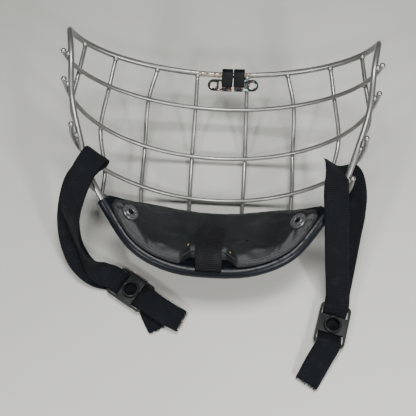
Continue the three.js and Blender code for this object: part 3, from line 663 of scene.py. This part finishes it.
def pad_place(u, v):
    """(across, down) on the cup, and the distance in millimetres from the pad's edge."""
    across = (u - 0.5) * 2 * PAD_REACH
    span = (cup_face(across, 0) - cup_face(across, 1)).length
    roundness = math.sqrt(max(0.0, 1 - abs(across / (PAD_REACH * 1.02)) ** 8))
    lowest = 1 + pad_overhang(across) / span
    half = lowest / 2 * max(0.35, roundness)
    from_side = min(u, 1 - u) * 2 * PAD_REACH * CUP_HALF * 1.25
    from_edge = min(v, 1 - v) * 2 * half * span
    return across, lowest / 2 + (v - 0.5) * 2 * half, min(from_side, from_edge)


def pad_height(across, edge):
    full = pad_top(across) - PAD_BASE
    rise = min(1.0, max(0.0, edge / PAD_SHOULDER))
    return PAD_BASE + PAD_LIP + (full - PAD_LIP - 0.4) * math.sin(rise * math.pi / 2) ** 0.8


def snap_place(side):
    """The middle of a pad snap on the cup, and the way that it faces."""
    return (over_cup(side * SNAP_ACROSS, SNAP_DOWN, pad_top(SNAP_ACROSS)),
            cup_normal(side * SNAP_ACROSS, SNAP_DOWN))


def vinyl_finish():
    vinyl = Shader("creased_vinyl")
    place = vinyl.coordinates()
    cloud = vinyl.noise(28.0, detail=3.0, vector=place)
    vinyl.link(vinyl.ramp(cloud, [(0.35, (0.009, 0.0105, 0.0115)), (0.7, (0.019, 0.02, 0.021))]),
               vinyl.surface.inputs["Base Color"])
    scuffs = patches(vinyl, 0.36, 240.0, place)
    vinyl.link(vinyl.math("ADD", vinyl.math("MULTIPLY", scuffs, 0.15), 0.47),
               vinyl.surface.inputs["Roughness"])
    grain = vinyl.node("ShaderNodeTexVoronoi", feature="DISTANCE_TO_EDGE")
    grain.inputs["Scale"].default_value = 1100.0
    vinyl.link(place, grain.inputs["Vector"])
    soft = vinyl.bump(vinyl.noise(170.0, detail=5.0, vector=place), 0.35, 0.0006)
    vinyl.link(vinyl.bump(grain.outputs["Distance"], 0.15, 0.00012, soft), vinyl.surface.inputs["Normal"])
    vinyl.set(Specular_IOR_Level=0.22)
    return vinyl.material


creased_vinyl = vinyl_finish()
bm = bmesh.new()
NU, NV = 96, 38
slab(bm, NU, NV, lambda u, v, w: over_cup(
    pad_place(u, v)[0], pad_place(u, v)[1],
    PAD_BASE if w == 0 else pad_height(pad_place(u, v)[0], pad_place(u, v)[2])))
bmesh.ops.recalc_face_normals(bm, faces=bm.faces)
pad = from_bmesh("chin_pad", bm)
finish_piece(pad, creased_vinyl, "cage", "pad_skin", "chin_pad_cover", "chin_pad_foam")


def swell(piece, held, pressure, growth, cap):
    """Fills a piece like a pad: its free points rise under pressure, and none moves more than the cap."""
    start = [v.co.copy() for v in piece.data.vertices]
    group = piece.vertex_groups.new(name="held")
    group.add([i for i, co in enumerate(start) if held(co)], 1.0, "REPLACE")
    cloth = piece.modifiers.new("swell", "CLOTH")
    cloth.settings.vertex_group_mass = "held"
    cloth.settings.quality = 5
    cloth.settings.mass = 0.1
    cloth.settings.tension_stiffness = cloth.settings.compression_stiffness = 18.0
    cloth.settings.shear_stiffness = 8.0
    cloth.settings.bending_stiffness = 0.08
    cloth.settings.use_pressure = True
    cloth.settings.uniform_pressure_force = pressure
    cloth.settings.shrink_min = -growth
    cloth.settings.effector_weights.gravity = 0.0
    cloth.collision_settings.use_collision = False
    cloth.collision_settings.use_self_collision = False
    cloth.point_cache.frame_start, cloth.point_cache.frame_end = 1, SWELL_STEPS
    for step in range(1, SWELL_STEPS + 1):
        bpy.context.scene.frame_set(step)
    baked(piece)
    bpy.context.scene.frame_set(1)
    for v, first in zip(piece.data.vertices, start):
        move = v.co - first
        if move.length > cap:
            v.co = first + move.normalized() * cap


snap_seats = [snap_place(-1), snap_place(1)]
held_lower = {spot(pad.data.vertices[i].co) for i in range((NU + 1) * (NV + 1))}


def pad_held(co):
    if spot(co) in held_lower:
        return True
    if any((co - at(*place)).length < SNAP_HOLD * MM for place, way in snap_seats):
        return True
    local = (co - MIDDLE) / MM
    return abs(local.x - TAB_OFFSET) < TAB_WIDTH / 2 + 1 and local.y < -41


swell(pad, pad_held, PRESSURE, GROWTH, MOST_SWELL * MM)
for v in pad.data.vertices:
    for place, way in snap_seats:
        flat = v.co - at(*place)
        flat -= way * flat.dot(way)
        reach = flat.length / MM
        if FOLD_FROM < reach < FOLD_TO and (v.co - at(*place)).length < (FOLD_TO + 1) * MM:
            angle = math.atan2(flat.y, flat.x)
            fade = math.exp(-((reach - FOLD_CREST) / FOLD_SPREAD) ** 2)
            fold = math.sin(angle * 11 + 2 * math.sin(angle * 3)) * fade
            v.co += way * fold * FOLD_HEIGHT * MM
    local = (v.co - MIDDLE) / MM
    beside = abs(local.x - TAB_OFFSET) - TAB_WIDTH / 2
    if 0 < beside < 22 and local.y < -40 and spot(v.co) not in held_lower:
        past = local.y - CREASE_Y
        aside = beside - CREASE_FROM - 0.5 * past
        crease = math.exp(-(aside / CREASE_WIDTH) ** 2) * math.exp(-(past / CREASE_LENGTH) ** 2)
        v.co.z -= crease * CREASE_DEPTH * MM
sub = pad.modifiers.new("smooth", "SUBSURF")
sub.levels = sub.render_levels = 1
baked(pad)

pad_tree = BVHTree.FromObject(pad, bpy.context.evaluated_depsgraph_get())


def on_pad(across, down, lift):
    """A point on the pad's real skin, a lift above it, in drawing millimetres."""
    foot, way = at(*over_cup(across, down, 30.0)), cup_normal(across, down)
    hit = pad_tree.ray_cast(foot, -way)[0]
    if hit is None:
        return over_cup(across, down, pad_top(across) + lift)
    return (hit - MIDDLE) / MM + way * lift


# Welt: a thin cord of vinyl sewn in along the lower edge, which steps up over the tape in the middle.
def welt_point(across):
    u = across / PAD_REACH / 2 + 0.5
    down = pad_place(u, 1.0)[1]
    beside = abs(across * CUP_HALF - TAB_OFFSET)
    step = max(0.0, 1 - max(0.0, beside - 9.0) / 6.5)
    span = (cup_face(across, 0) - cup_face(across, 1)).length
    return on_pad(across, down - (1.6 + 0.8 * step) / span, 0.1)


welt_line = [welt_point(-0.9 + 1.8 * i / 90) for i in range(91)]
for k in range(3):
    welt_line = [welt_line[0]] + [(a + b * 2 + c) / 4 for a, b, c in
                                  zip(welt_line, welt_line[1:], welt_line[2:])] + [welt_line[-1]]
welt_vinyl = moulded_black("welt_vinyl", (0.03, 0.033, 0.036), 0.45, 0.3)
finish_piece(from_bmesh("pad_welt", tube(through(welt_line, 1.2), 0.5, 10)), welt_vinyl, "cage", "pad_skin")


def foam_finish():
    foam = Shader("bare_foam")
    foam.link(foam.ramp(foam.noise(1500.0), [(0.3, (0.1, 0.07, 0.035)), (0.7, (0.33, 0.24, 0.13))]),
              foam.surface.inputs["Base Color"])
    foam.link(foam.bump(foam.noise(2500.0), 0.8, 0.0003), foam.surface.inputs["Normal"])
    foam.set(Roughness=0.95)
    return foam.material


# Two nicks where tan foam shows through the skin, and a small hole.
bm = bmesh.new()
for across, down, lean in ((-0.2, 0.82, 0.15), (0.14, 0.9, -0.1)):
    shape = Matrix.Diagonal((0.6 * MM, 1.8 * MM, 0.3 * MM, 1.0))
    turn = facing(on_pad(across, down, -0.1), cup_normal(across, down)) @ Matrix.Rotation(lean, 4, "Z")
    bmesh.ops.create_icosphere(bm, subdivisions=3, radius=1.0, matrix=turn @ shape)
for v in bm.verts:
    v.co += v.normal * noise.noise(v.co * 2500) * 0.00035
finish_piece(from_bmesh("foam_nicks", bm), foam_finish(), "cage", "foam")
# The small hole is a flat near-black lump laid on the skin: painted shade where the hole's inside lies in
# shadow.
bm = bmesh.new()
HOLE_PLACE = (0.3, 0.74)
shape = Matrix.Diagonal((1.3 * MM, 0.8 * MM, 0.25 * MM, 1.0))
bmesh.ops.create_icosphere(bm, subdivisions=3, radius=1.0,
                           matrix=facing(on_pad(*HOLE_PLACE, -0.05), cup_normal(*HOLE_PLACE)) @ shape)
painted_hole_shade = moulded_black("painted_hole_shade", (0.001, 0.001, 0.001), 0.9, 0.05)
finish_piece(from_bmesh("pad_hole_painted_shade", bm), painted_hole_shade, "cage", "pad_skin")

# ---- Pad snaps ---------------------------------------------------------------------------------------------
# Spun steel eyelets that hold the pad to the cup: a flat ring with its prongs curled over, and a hollow post
# through the middle. Zinc plated, with grey dirt in the corners.


def rounded_copy(node, width):
    """A copy of a solid, merged, with its corners rounded."""
    bm = bmesh.new()
    bm.from_mesh(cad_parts[node].data)
    bmesh.ops.remove_doubles(bm, verts=bm.verts, dist=0.00001)
    bmesh.ops.dissolve_limit(bm, angle_limit=math.radians(2), verts=bm.verts, edges=bm.edges)
    corners = [e for e in bm.edges if len(e.link_faces) == 2 and e.calc_face_angle(0) > math.radians(35)]
    bmesh.ops.bevel(bm, geom=corners, offset=width * MM, offset_type="OFFSET", affect="EDGES",
                    segments=3, profile=0.5, material=-1, clamp_overlap=True)
    bmesh.ops.triangulate(bm, faces=[f for f in bm.faces if len(f.verts) > 4])
    bmesh.ops.recalc_face_normals(bm, faces=bm.faces)
    return bm


def plain_metal(name, colour, rough, dirt, dirt_cover, rust_cover=0.2):
    metal = Shader(name)
    place = metal.coordinates()
    grime = patches(metal, dirt_cover, 500.0, place)
    rust = patches(metal, rust_cover, 900.0, place)
    skin = metal.mix(rust, metal.mix(grime, colour, dirt), (0.16, 0.07, 0.035))
    metal.link(skin, metal.surface.inputs["Base Color"])
    bare = metal.math("SUBTRACT", 1.0, metal.math("MAXIMUM", metal.math("MULTIPLY", grime, 0.6), rust))
    metal.link(metal.math("MULTIPLY", bare, 0.92), metal.surface.inputs["Metallic"])
    metal.link(metal.math("ADD", metal.math("MULTIPLY", grime, 0.3), rough),
               metal.surface.inputs["Roughness"])
    metal.link(metal.bump(metal.noise(1500.0, vector=place), 0.2, 0.0001), metal.surface.inputs["Normal"])
    return metal.material


snap_zinc = plain_metal("snap_zinc", (0.24, 0.245, 0.25), 0.36, (0.05, 0.052, 0.055), 0.5)
# The snap post is coloured near black as painted shadow down its hollow middle.
snap_shadow = moulded_black("snap_post_painted_shadow", (0.003, 0.003, 0.003), 0.6, 0.15)


def ring_stack(bm, place, way, profile, sides=48):
    """A turned ring: circles of (radius, height) drawn out one after the other and closed on the first."""
    turn = facing(place, way)
    bmesh.ops.create_circle(bm, segments=sides, radius=1.0)
    first = ring = [e for e in bm.edges if e.is_wire]
    home = None
    for radius, height in profile:
        wide = Matrix.Diagonal((radius * MM, radius * MM, 1.0, 1.0))
        shape = turn @ Matrix.Translation((0, 0, height * MM)) @ wide
        if home is None:
            bmesh.ops.transform(bm, matrix=shape, verts=list({v for e in ring for v in e.verts}))
        else:
            ring = draw_out(bm, ring, home, shape)
        home = shape
    bmesh.ops.bridge_loops(bm, edges=list(first) + list(ring))


# The eyelet's section, as (radius, height) in millimetres: outer rim, trough for the prongs, curled barrel.
EYELET = [
    (2.0, 0), (5.8, 0.1), (5.8, 0.6), (5.5, 1.0), (5.0, 1.15), (4.3, 0.95), (3.9, 0.8),
    (3.3, 0.95), (2.9, 1.3), (2.45, 1.5), (2.1, 1.35), (2.0, 1.0),
]
PRONGS = 8
for side, label in ((-1, "left"), (1, "right")):
    place, way = snap_place(side)
    bm = bmesh.new()
    ring_stack(bm, place, way, EYELET)
    for i in range(PRONGS):
        turn = facing(place, way) @ Matrix.Rotation(i * math.tau / PRONGS + 0.2, 4, "Z")
        prong = turn @ Matrix.Translation((3.9 * MM, 0, 0.98 * MM))
        bmesh.ops.create_icosphere(bm, subdivisions=2, radius=1.0,
                                   matrix=prong @ Matrix.Diagonal((1.0 * MM, 0.78 * MM, 0.34 * MM, 1.0)))
    bmesh.ops.recalc_face_normals(bm, faces=bm.faces)
    finish_piece(from_bmesh(f"{label}_snap_ring", bm), snap_zinc, "cage", "snap", f"{label}_pad_snap_ring")
    finish_piece(from_bmesh(f"{label}_snap_post", rounded_copy(f"{label}_pad_snap_post", 0.3)),
                 snap_shadow, "cage", "snap", f"{label}_pad_snap_post")

# ---- Centre tape -------------------------------------------------------------------------------------------
# A tongue of coarse black hook tape, sewn to the cup at one end, that comes down over the pad and is tucked
# round the rim; its cut end is fluffed out.
TAB_THICK, TAB_ON_PAD, TAB_OVER_RIM = 2.0, (0.5, 0.66, 0.82, 0.98), (20, -12)


def span_at(points, share):
    """The four points round the span at a share of the way along, and how far into that span it is."""
    span = min(int(share * (len(points) - 1)), len(points) - 2)
    b, c = points[span], points[span + 1]
    a = points[span - 1] if span else b * 2 - c
    d = points[span + 2] if span + 2 < len(points) else c * 2 - b
    return a, b, c, d, share * (len(points) - 1) - span


def curve_at(points, share):
    """A point of the smooth curve through points, at a share of its spans."""
    return span_point(*span_at(points, share))


def tab_point(along, sideways, lift):
    x = TAB_OFFSET + sideways
    line = [over_cup(x / CUP_HALF, down, pad_top(x / CUP_HALF) + 0.3 + lift) for down in TAB_ON_PAD]
    line += [rim_point(x, degrees, RIM_INNER + RIM_WALL + 0.6 + lift) for degrees in TAB_OVER_RIM]
    return curve_at(line, along)


def weave_group():
    """Ribs across a band and the yarns along it, from the band's own length and width."""
    group, enter, leave = new_group("band_weave", {"Rib Pitch": 0.0013, "Yarn Pitch": 0.0008}, "Height")
    nodes, links = group.nodes, group.links

    def maths(operation, first, second=None):
        node = nodes.new("ShaderNodeMath")
        node.operation = operation
        for value, socket in ((first, node.inputs[0]), (second, node.inputs[1])):
            if isinstance(value, (int, float)):
                socket.default_value = value
            elif value is not None:
                links.new(value, socket)
        return node.outputs[0]

    axes = nodes.new("ShaderNodeSeparateXYZ")
    links.new(enter.outputs["Vector"], axes.inputs[0])
    rib = maths("DIVIDE", axes.outputs["X"], enter.outputs["Rib Pitch"])
    yarn = maths("DIVIDE", axes.outputs["Y"], enter.outputs["Yarn Pitch"])
    row = maths("MODULO", maths("FLOOR", rib), 2.0)
    yarn = maths("ADD", yarn, maths("MULTIPLY", row, 0.5))
    over = maths("ABSOLUTE", maths("SINE", maths("MULTIPLY", yarn, math.pi)))
    crown = maths("ABSOLUTE", maths("SINE", maths("MULTIPLY", rib, math.pi)))
    links.new(maths("MULTIPLY", over, crown), leave.inputs["Height"])
    return group


band_weave = weave_group()


def webbing_finish(name, colour, light, rib, yarn, fuzz):
    web = Shader(name)
    uv = web.node("ShaderNodeUVMap", uv_map="band").outputs["UV"]
    place = web.coordinates()
    weave = web.node("ShaderNodeGroup")
    weave.node_tree = band_weave
    weave.inputs["Rib Pitch"].default_value = rib
    weave.inputs["Yarn Pitch"].default_value = yarn
    web.link(uv, weave.inputs["Vector"])
    height = weave.outputs["Height"]
    worn = patches(web, 0.42, 120.0, place)
    # Painted light and shade: the crowns of the ribs and yarns are painted lighter and the hollows between them
    # darker; worn patches lighten it a little too.
    painted_light_and_patches = web.math("ADD", web.math("MULTIPLY", height, 0.75), web.math("MULTIPLY", worn, 0.25), clamp=True)
    lint = web.math("GREATER_THAN", web.noise(2200.0, detail=2.0, vector=place), 0.74)
    skin = web.mix(painted_light_and_patches, colour, light)
    web.link(web.mix(web.math("MULTIPLY", lint, fuzz), skin, tuple(c * 3.2 for c in light)),
             web.surface.inputs["Base Color"])
    web.link(web.math("ADD", web.math("MULTIPLY", height, -0.18), 0.78), web.surface.inputs["Roughness"])
    web.link(web.bump(height, 0.8, 0.0003, web.bump(web.noise(1300.0, vector=place), 0.3, 0.0002)),
             web.surface.inputs["Normal"])
    web.set(Sheen_Weight=0.02, Sheen_Roughness=0.5, Specular_IOR_Level=0.1)
    return web.material


def band(stations, width, thickness, rib, cells=10):
    """A woven band: a grid laid along stations of (middle, across, up), ribbed, with scalloped edges."""
    bm = bmesh.new()
    uv = bm.loops.layers.uv.new("band")
    rows = len(stations) - 1
    grid = bmesh.ops.create_grid(bm, x_segments=rows, y_segments=cells, size=0.5)
    lower = grid["verts"]
    marks = lengths_along([middle for middle, across, up in stations])
    for f in bm.faces:
        for loop in f.loops:
            row = round((loop.vert.co.x + 0.5) * rows)
            loop[uv].uv = (marks[row] * MM, (loop.vert.co.y + 0.5) * width * MM)
    made = bmesh.ops.extrude_face_region(bm, geom=list(bm.faces), use_keep_orig=True)["geom"]
    upper = [v for v in made if isinstance(v, bmesh.types.BMVert)]
    for verts, side in ((lower, -1), (upper, 1)):
        for v in verts:
            row = round((v.co.x + 0.5) * rows)
            middle, across, up = stations[row]
            share = v.co.y * 2
            crown = abs(math.sin(math.pi * marks[row] / rib))
            edge = 1 - 0.55 * max(0.0, abs(share) - 0.8) / 0.2
            out = share * (width / 2 - 0.14 * (1 - crown) * abs(share) ** 6)
            high = side * thickness / 2 * edge * (0.86 + 0.14 * crown)
            v.co = at(*(middle + across * out + up * high))
    bmesh.ops.recalc_face_normals(bm, faces=bm.faces)
    return bm


def fluff(bm, place, way, across, up, width, count, length, seed):
    """Loose yarn ends: thin four-sided cones standing out of a cut end."""
    pick = random.Random(seed)
    for i in range(count):
        lean = (way + across * pick.uniform(-0.45, 0.45) + up * pick.uniform(-0.35, 0.45)).normalized()
        reach = length * pick.uniform(0.35, 1.0)
        foot = place + across * pick.uniform(-0.48, 0.48) * width + up * pick.uniform(-0.5, 0.5)
        bmesh.ops.create_cone(bm, cap_ends=True, segments=4, radius1=0.16 * MM, radius2=0.05 * MM,
                              depth=(reach + 0.8) * MM, matrix=facing(foot + lean * reach / 2, lean))


def tab_station(along):
    middle, aside = tab_point(along, 0, TAB_THICK / 2), tab_point(along, 1, TAB_THICK / 2)
    above = tab_point(along, 0, TAB_THICK)
    return middle, (aside - middle).normalized(), (above - middle).normalized()


tab_black = webbing_finish("hook_tape_black", (0.002, 0.002, 0.0025), (0.022, 0.022, 0.024),
                           rib=0.0012, yarn=0.0011, fuzz=0.6)
tab_bm = band([tab_station(i / 110) for i in range(111)], TAB_WIDTH, TAB_THICK, 1.2, 14)
for v in tab_bm.verts:
    v.co += v.normal * (noise.noise(v.co * 1400) * 0.0003)
for along, count, way_sign in ((0.0, 60, -1), (1.0, 110, 1)):
    middle, across, up = tab_station(along)
    ahead = tab_point(min(1, along + 0.02), 0, 1) - tab_point(max(0, along - 0.02), 0, 1)
    fluff(tab_bm, middle, ahead.normalized() * way_sign, across, up * 1.3, TAB_WIDTH, count, 1.1, 5 + count)
finish_piece(from_bmesh("centre_tape", tab_bm), tab_black, "cage", "webbing", "chin_tab")

# ---- Helmet clips ------------------------------------------------------------------------------------------
# Two strips of steel dipped in black vinyl, hooked over the brow wire side by side. Each has a flat eye for the
# helmet screw, and the vinyl has worn away to bright and rusty metal round the eye and the open window.
EYE_MIDDLES = {"left": (-6.215, 80.24, 35.845), "right": (22.505, 80.14, 37.305)}


def clip_finish(name, eye, bare_colour):
    clip = Shader(name)
    place = clip.coordinates()
    away = clip.node("ShaderNodeVectorMath", operation="DISTANCE")
    clip.link(place, away.inputs[0])
    away.inputs[1].default_value = at(*eye)
    reach = clip.math("DIVIDE", away.outputs["Value"], MM)
    round_hole = clip.math("MULTIPLY", clip.math("LESS_THAN", reach, 3.1), 0.3)
    beyond = clip.math("MULTIPLY", clip.math("GREATER_THAN", reach, 4.7), 0.3)
    bare = patches(clip, clip.math("ADD", clip.math("ADD", round_hole, beyond), 0.2), 330.0, place)
    rust = patches(clip, 0.5, 420.0, place)
    metal = clip.mix(rust, bare_colour, (0.075, 0.038, 0.026))
    clip.link(clip.mix(bare, (0.002, 0.003, 0.0035), metal), clip.surface.inputs["Base Color"])
    shine = clip.math("MULTIPLY", bare, clip.math("SUBTRACT", 1.0, clip.math("MULTIPLY", rust, 0.7)))
    clip.link(shine, clip.surface.inputs["Metallic"])
    clip.link(clip.math("ADD", clip.math("MULTIPLY", rust, 0.2), 0.42), clip.surface.inputs["Roughness"])
    clip.set(Specular_IOR_Level=0.15)
    clip.link(clip.bump(bare, -0.6, 0.0003, clip.bump(clip.noise(900.0, vector=place), 0.25, 0.0002)),
              clip.surface.inputs["Normal"])
    return clip.material


clip_vinyl = moulded_black("clip_vinyl", (0.002, 0.003, 0.0035), 0.55, 0.12)
clip_steels = {
    "left": clip_finish("left_clip_steel", EYE_MIDDLES["left"], (0.4, 0.29, 0.25)),
    "right": clip_finish("right_clip_steel", EYE_MIDDLES["right"], (0.2, 0.27, 0.27)),
}
for label in ("left", "right"):
    finish_piece(from_bmesh(f"{label}_clip_strip", rounded_copy(f"{label}_helmet_clip", 0.28)),
                 clip_steels[label], f"{label}_clip", "clip_steel", f"{label}_helmet_clip")
    finish_piece(from_bmesh(f"{label}_clip_sleeve", rounded_copy(f"{label}_clip_skin", 0.3)),
                 clip_vinyl, f"{label}_clip", "clip_vinyl", f"{label}_clip_skin")

# ---- Straps ------------------------------------------------------------------------------------------------
# One length of black nylon webbing on each side. It hangs over the side rail in a fold, and both ends come
# down to the buckle, are threaded through it and end in a cut tail that has begun to fray.
WEB_WIDTH, WEB_THICK, WEB_RIB = 16.0, 1.5, 1.3
BUCKLE_LENGTH, BUCKLE_BAR, BUCKLE_SLOT = 29.0, 3.0, 5.4
BUCKLE_BASE, BUCKLE_THICK, GROUND = 5.5, 2.0, 2.15
BUCKLES = {"left": ((-55.2, -71.2), -31), "right": ((83.4, -88.2), -103)}
SLOT_MIDDLE = BUCKLE_LENGTH / 2 - BUCKLE_BAR - BUCKLE_SLOT / 2
OVER_BAR = BUCKLE_BASE + BUCKLE_THICK + WEB_THICK / 2 + 0.6
UNDER_PLATE = BUCKLE_BASE - WEB_THICK / 2 - 0.35
THREADED = [
    (SLOT_MIDDLE + 5.6, OVER_BAR + 0.1), (SLOT_MIDDLE + 2.8, OVER_BAR),
    (SLOT_MIDDLE + 0.2, OVER_BAR - 2.2), (SLOT_MIDDLE - 2.6, UNDER_PLATE), (0, UNDER_PLATE),
    (2.6 - SLOT_MIDDLE, UNDER_PLATE), (-SLOT_MIDDLE - 0.2, OVER_BAR - 2.2),
    (-SLOT_MIDDLE - 2.8, OVER_BAR), (-SLOT_MIDDLE - 5.6, OVER_BAR + 0.3),
]
UNDERNEATH = [(-14, GROUND), (-5, GROUND), (5, GROUND), (14, GROUND)]


def along_buckle(label, stations):
    (x, y), turn = BUCKLES[label]
    turn = math.radians(turn)
    return [((x + d * math.cos(turn), y + d * math.sin(turn), z), (-math.sin(turn), math.cos(turn), 0))
            for d, z in stations]


STRAPS = {
    "left": [
        ((-19, -91, 5.2), (0.3, 0.95, 0)), ((-27.5, -87.5, 7.4), (0.4, 0.92, 0)),
        ((-36, -83, 8.8), (0.48, 0.88, 0)), *along_buckle("left", THREADED),
        ((-76, -62.5, 14.5), (0.5, 0.75, 0.4)), ((-84, -57.5, 22.5), (0.4, 0, 0.9)),
        ((-90.3, -50, 33), (0.35, -0.45, 0.82)), ((-93, -41, 45), (0.6, -0.42, 0.68)),
        ((-93.2, -34, 54), (0.85, -0.25, 0.42)), ((-91, -26, 62), (0.95, -0.2, 0.05)),
        ((-86.3, -17, 70), (0.9, -0.35, -0.12)), ((-81.5, -8.5, 74), (0.82, -0.46, -0.25)),
        ((-78.5, -1.5, 72), (0.82, -0.46, -0.32)), ((-77.7, 1.2, 66), (0.86, -0.4, -0.3)),
        ((-80, 1, 58.5), (0.92, -0.25, -0.2)), ((-86.5, -0.3, 51.5), (0.95, -0.1, -0.2)),
        ((-94.8, -7.6, 44.5), (0.95, -0.1, -0.1)), ((-98.6, -20, 38.5), (0.97, -0.1, 0.05)),
        ((-99.2, -34, 31.5), (0.95, 0.05, 0.2)), ((-96.8, -46, 21.5), (0.85, 0.35, 0.35)),
        ((-90, -56.5, 12.5), (0.65, 0.7, 0.2)), ((-80.5, -62.2, 6), (0.54, 0.84, 0)),
        *along_buckle("left", UNDERNEATH),
        ((-39, -86.5, GROUND), (0.75, 0.65, 0)), ((-33.5, -96, GROUND + 0.1), (0.87, 0.5, 0)),
    ],
    "right": [
        ((66, -127.5, 4.2), (1, -0.45, 0)), ((71.5, -117.5, 6.2), (1, -0.45, 0)),
        ((76.5, -108.5, 8.2), (1, -0.38, 0)), *along_buckle("right", THREADED),
        ((85.6, -66, 17.5), (1, -0.1, 0)), ((83, -54, 31.5), (1, 0, 0)),
        ((80.5, -42, 47), (1, 0.02, 0.05)), ((78.5, -30, 60), (1, 0, 0.05)),
        ((77, -20, 67.5), (1, -0.05, 0)), ((76.8, -10, 71.5), (0.92, -0.1, -0.3)),
        ((75.8, -2, 69.9), (0.78, -0.1, -0.6)), ((77, 2.8, 64.3), (0.8, -0.05, -0.58)),
        ((82.2, 4, 58), (0.97, 0, -0.15)), ((89, 2.2, 54), (0.95, -0.1, 0.1)),
        ((93, -7, 47.5), (0.9, -0.1, 0.3)), ((93.3, -19, 40), (0.95, 0, 0.3)),
        ((91.5, -33, 31), (1, 0, 0.15)), ((90, -47, 21), (1, 0, 0.05)), ((88.5, -60, 11), (1, -0.1, 0)),
        ((87.4, -68.5, 4.6), (1, -0.18, 0)), *along_buckle("right", UNDERNEATH),
        ((77, -107.3, GROUND), (1, -0.38, 0)), ((71.5, -117, GROUND + 0.2), (1, -0.45, 0)),
        ((67.4, -125.3, GROUND + 0.1), (1, -0.45, 0)),
    ],
}


def turned_across(turns, share):
    """The width's direction, eased through the stations' own directions."""
    a, b, c, d, t = span_at(turns, share)
    m0, m1 = (c - a) / 2, (d - b) / 2
    return (b * (2 * t ** 3 - 3 * t * t + 1) + m0 * (t ** 3 - 2 * t * t + t)
            + c * (3 * t * t - 2 * t ** 3) + m1 * (t ** 3 - t * t))


def strap_stations(points, spacing):
    places = [Vector(p) for p, turn in points]
    turns = [Vector(turn) for p, turn in points]
    spans = len(points) - 1
    shares = []
    for i, (a, b) in enumerate(zip(places, places[1:])):
        count = max(2, round((b - a).length / spacing))
        shares += [(i + k / count) / spans for k in range(count)]
    shares.append(1.0)
    out = []
    for share in shares:
        low, high = max(0.0, share - 0.0005), min(1.0, share + 0.0005)
        way = (curve_at(places, high) - curve_at(places, low)).normalized()
        across = turned_across(turns, share)
        across = (across - way * across.dot(way)).normalized()
        out.append((curve_at(places, share), across, way.cross(across)))
    return out


web_black = webbing_finish("webbing_black", (0.0012, 0.0017, 0.0026), (0.0105, 0.0125, 0.0165),
                           rib=WEB_RIB * MM, yarn=0.0009, fuzz=0.25)
for label in ("left", "right"):
    stations = strap_stations(STRAPS[label], WEB_RIB / 4)
    bm = band(stations, WEB_WIDTH, WEB_THICK, WEB_RIB)
    for end, before, seed in ((stations[0], stations[6], 11), (stations[-1], stations[-7], 12)):
        way = (end[0] - before[0]).normalized()
        fluff(bm, end[0], way, end[1], Vector((0, 0, 1)), WEB_WIDTH, 70, 1.5, seed)
    finish_piece(from_bmesh(f"{label}_webbing", bm), web_black, f"{label}_strap_assembly", "webbing",
                 f"{label}_strap")

# ---- Buckles -----------------------------------------------------------------------------------------------
# Flat ladder buckles of black moulded nylon with rounded edges, and a pressed steel snap socket set in the
# middle of each. The sockets are blacked; the black has rubbed off their rims.
buckle_black = moulded_black("buckle_nylon", (0.004, 0.0045, 0.005), 0.5, 0.2)
socket_black = plain_metal("blacked_socket", (0.06, 0.063, 0.066), 0.4, (0.005, 0.005, 0.006), 0.58, 0.1)
# The socket's section, as (radius, height) in millimetres: the wall outside, the rolled rim, the bore.
SOCKET = [
    (4.5, 0), (6.0, 0), (6.0, 1.2), (5.85, 1.7), (5.5, 2.05), (5.1, 2.2), (4.9, 2.0), (4.75, 1.5), (4.5, 1.3),
]
for label in ("left", "right"):
    body = f"{label}_strap_assembly"
    finish_piece(from_bmesh(f"{label}_buckle_plate", rounded_copy(f"{label}_buckle", 0.6)),
                 buckle_black, body, "buckle", f"{label}_buckle")
    (x, y), turn = BUCKLES[label]
    foot = Vector((x, y, BUCKLE_BASE + BUCKLE_THICK + 0.3))
    bm = bmesh.new()
    ring_stack(bm, foot, Vector((0, 0, 1)), SOCKET)
    bmesh.ops.recalc_face_normals(bm, faces=bm.faces)
    finish_piece(from_bmesh(f"{label}_socket_ring", bm), socket_black, body, "snap", f"{label}_buckle_socket")
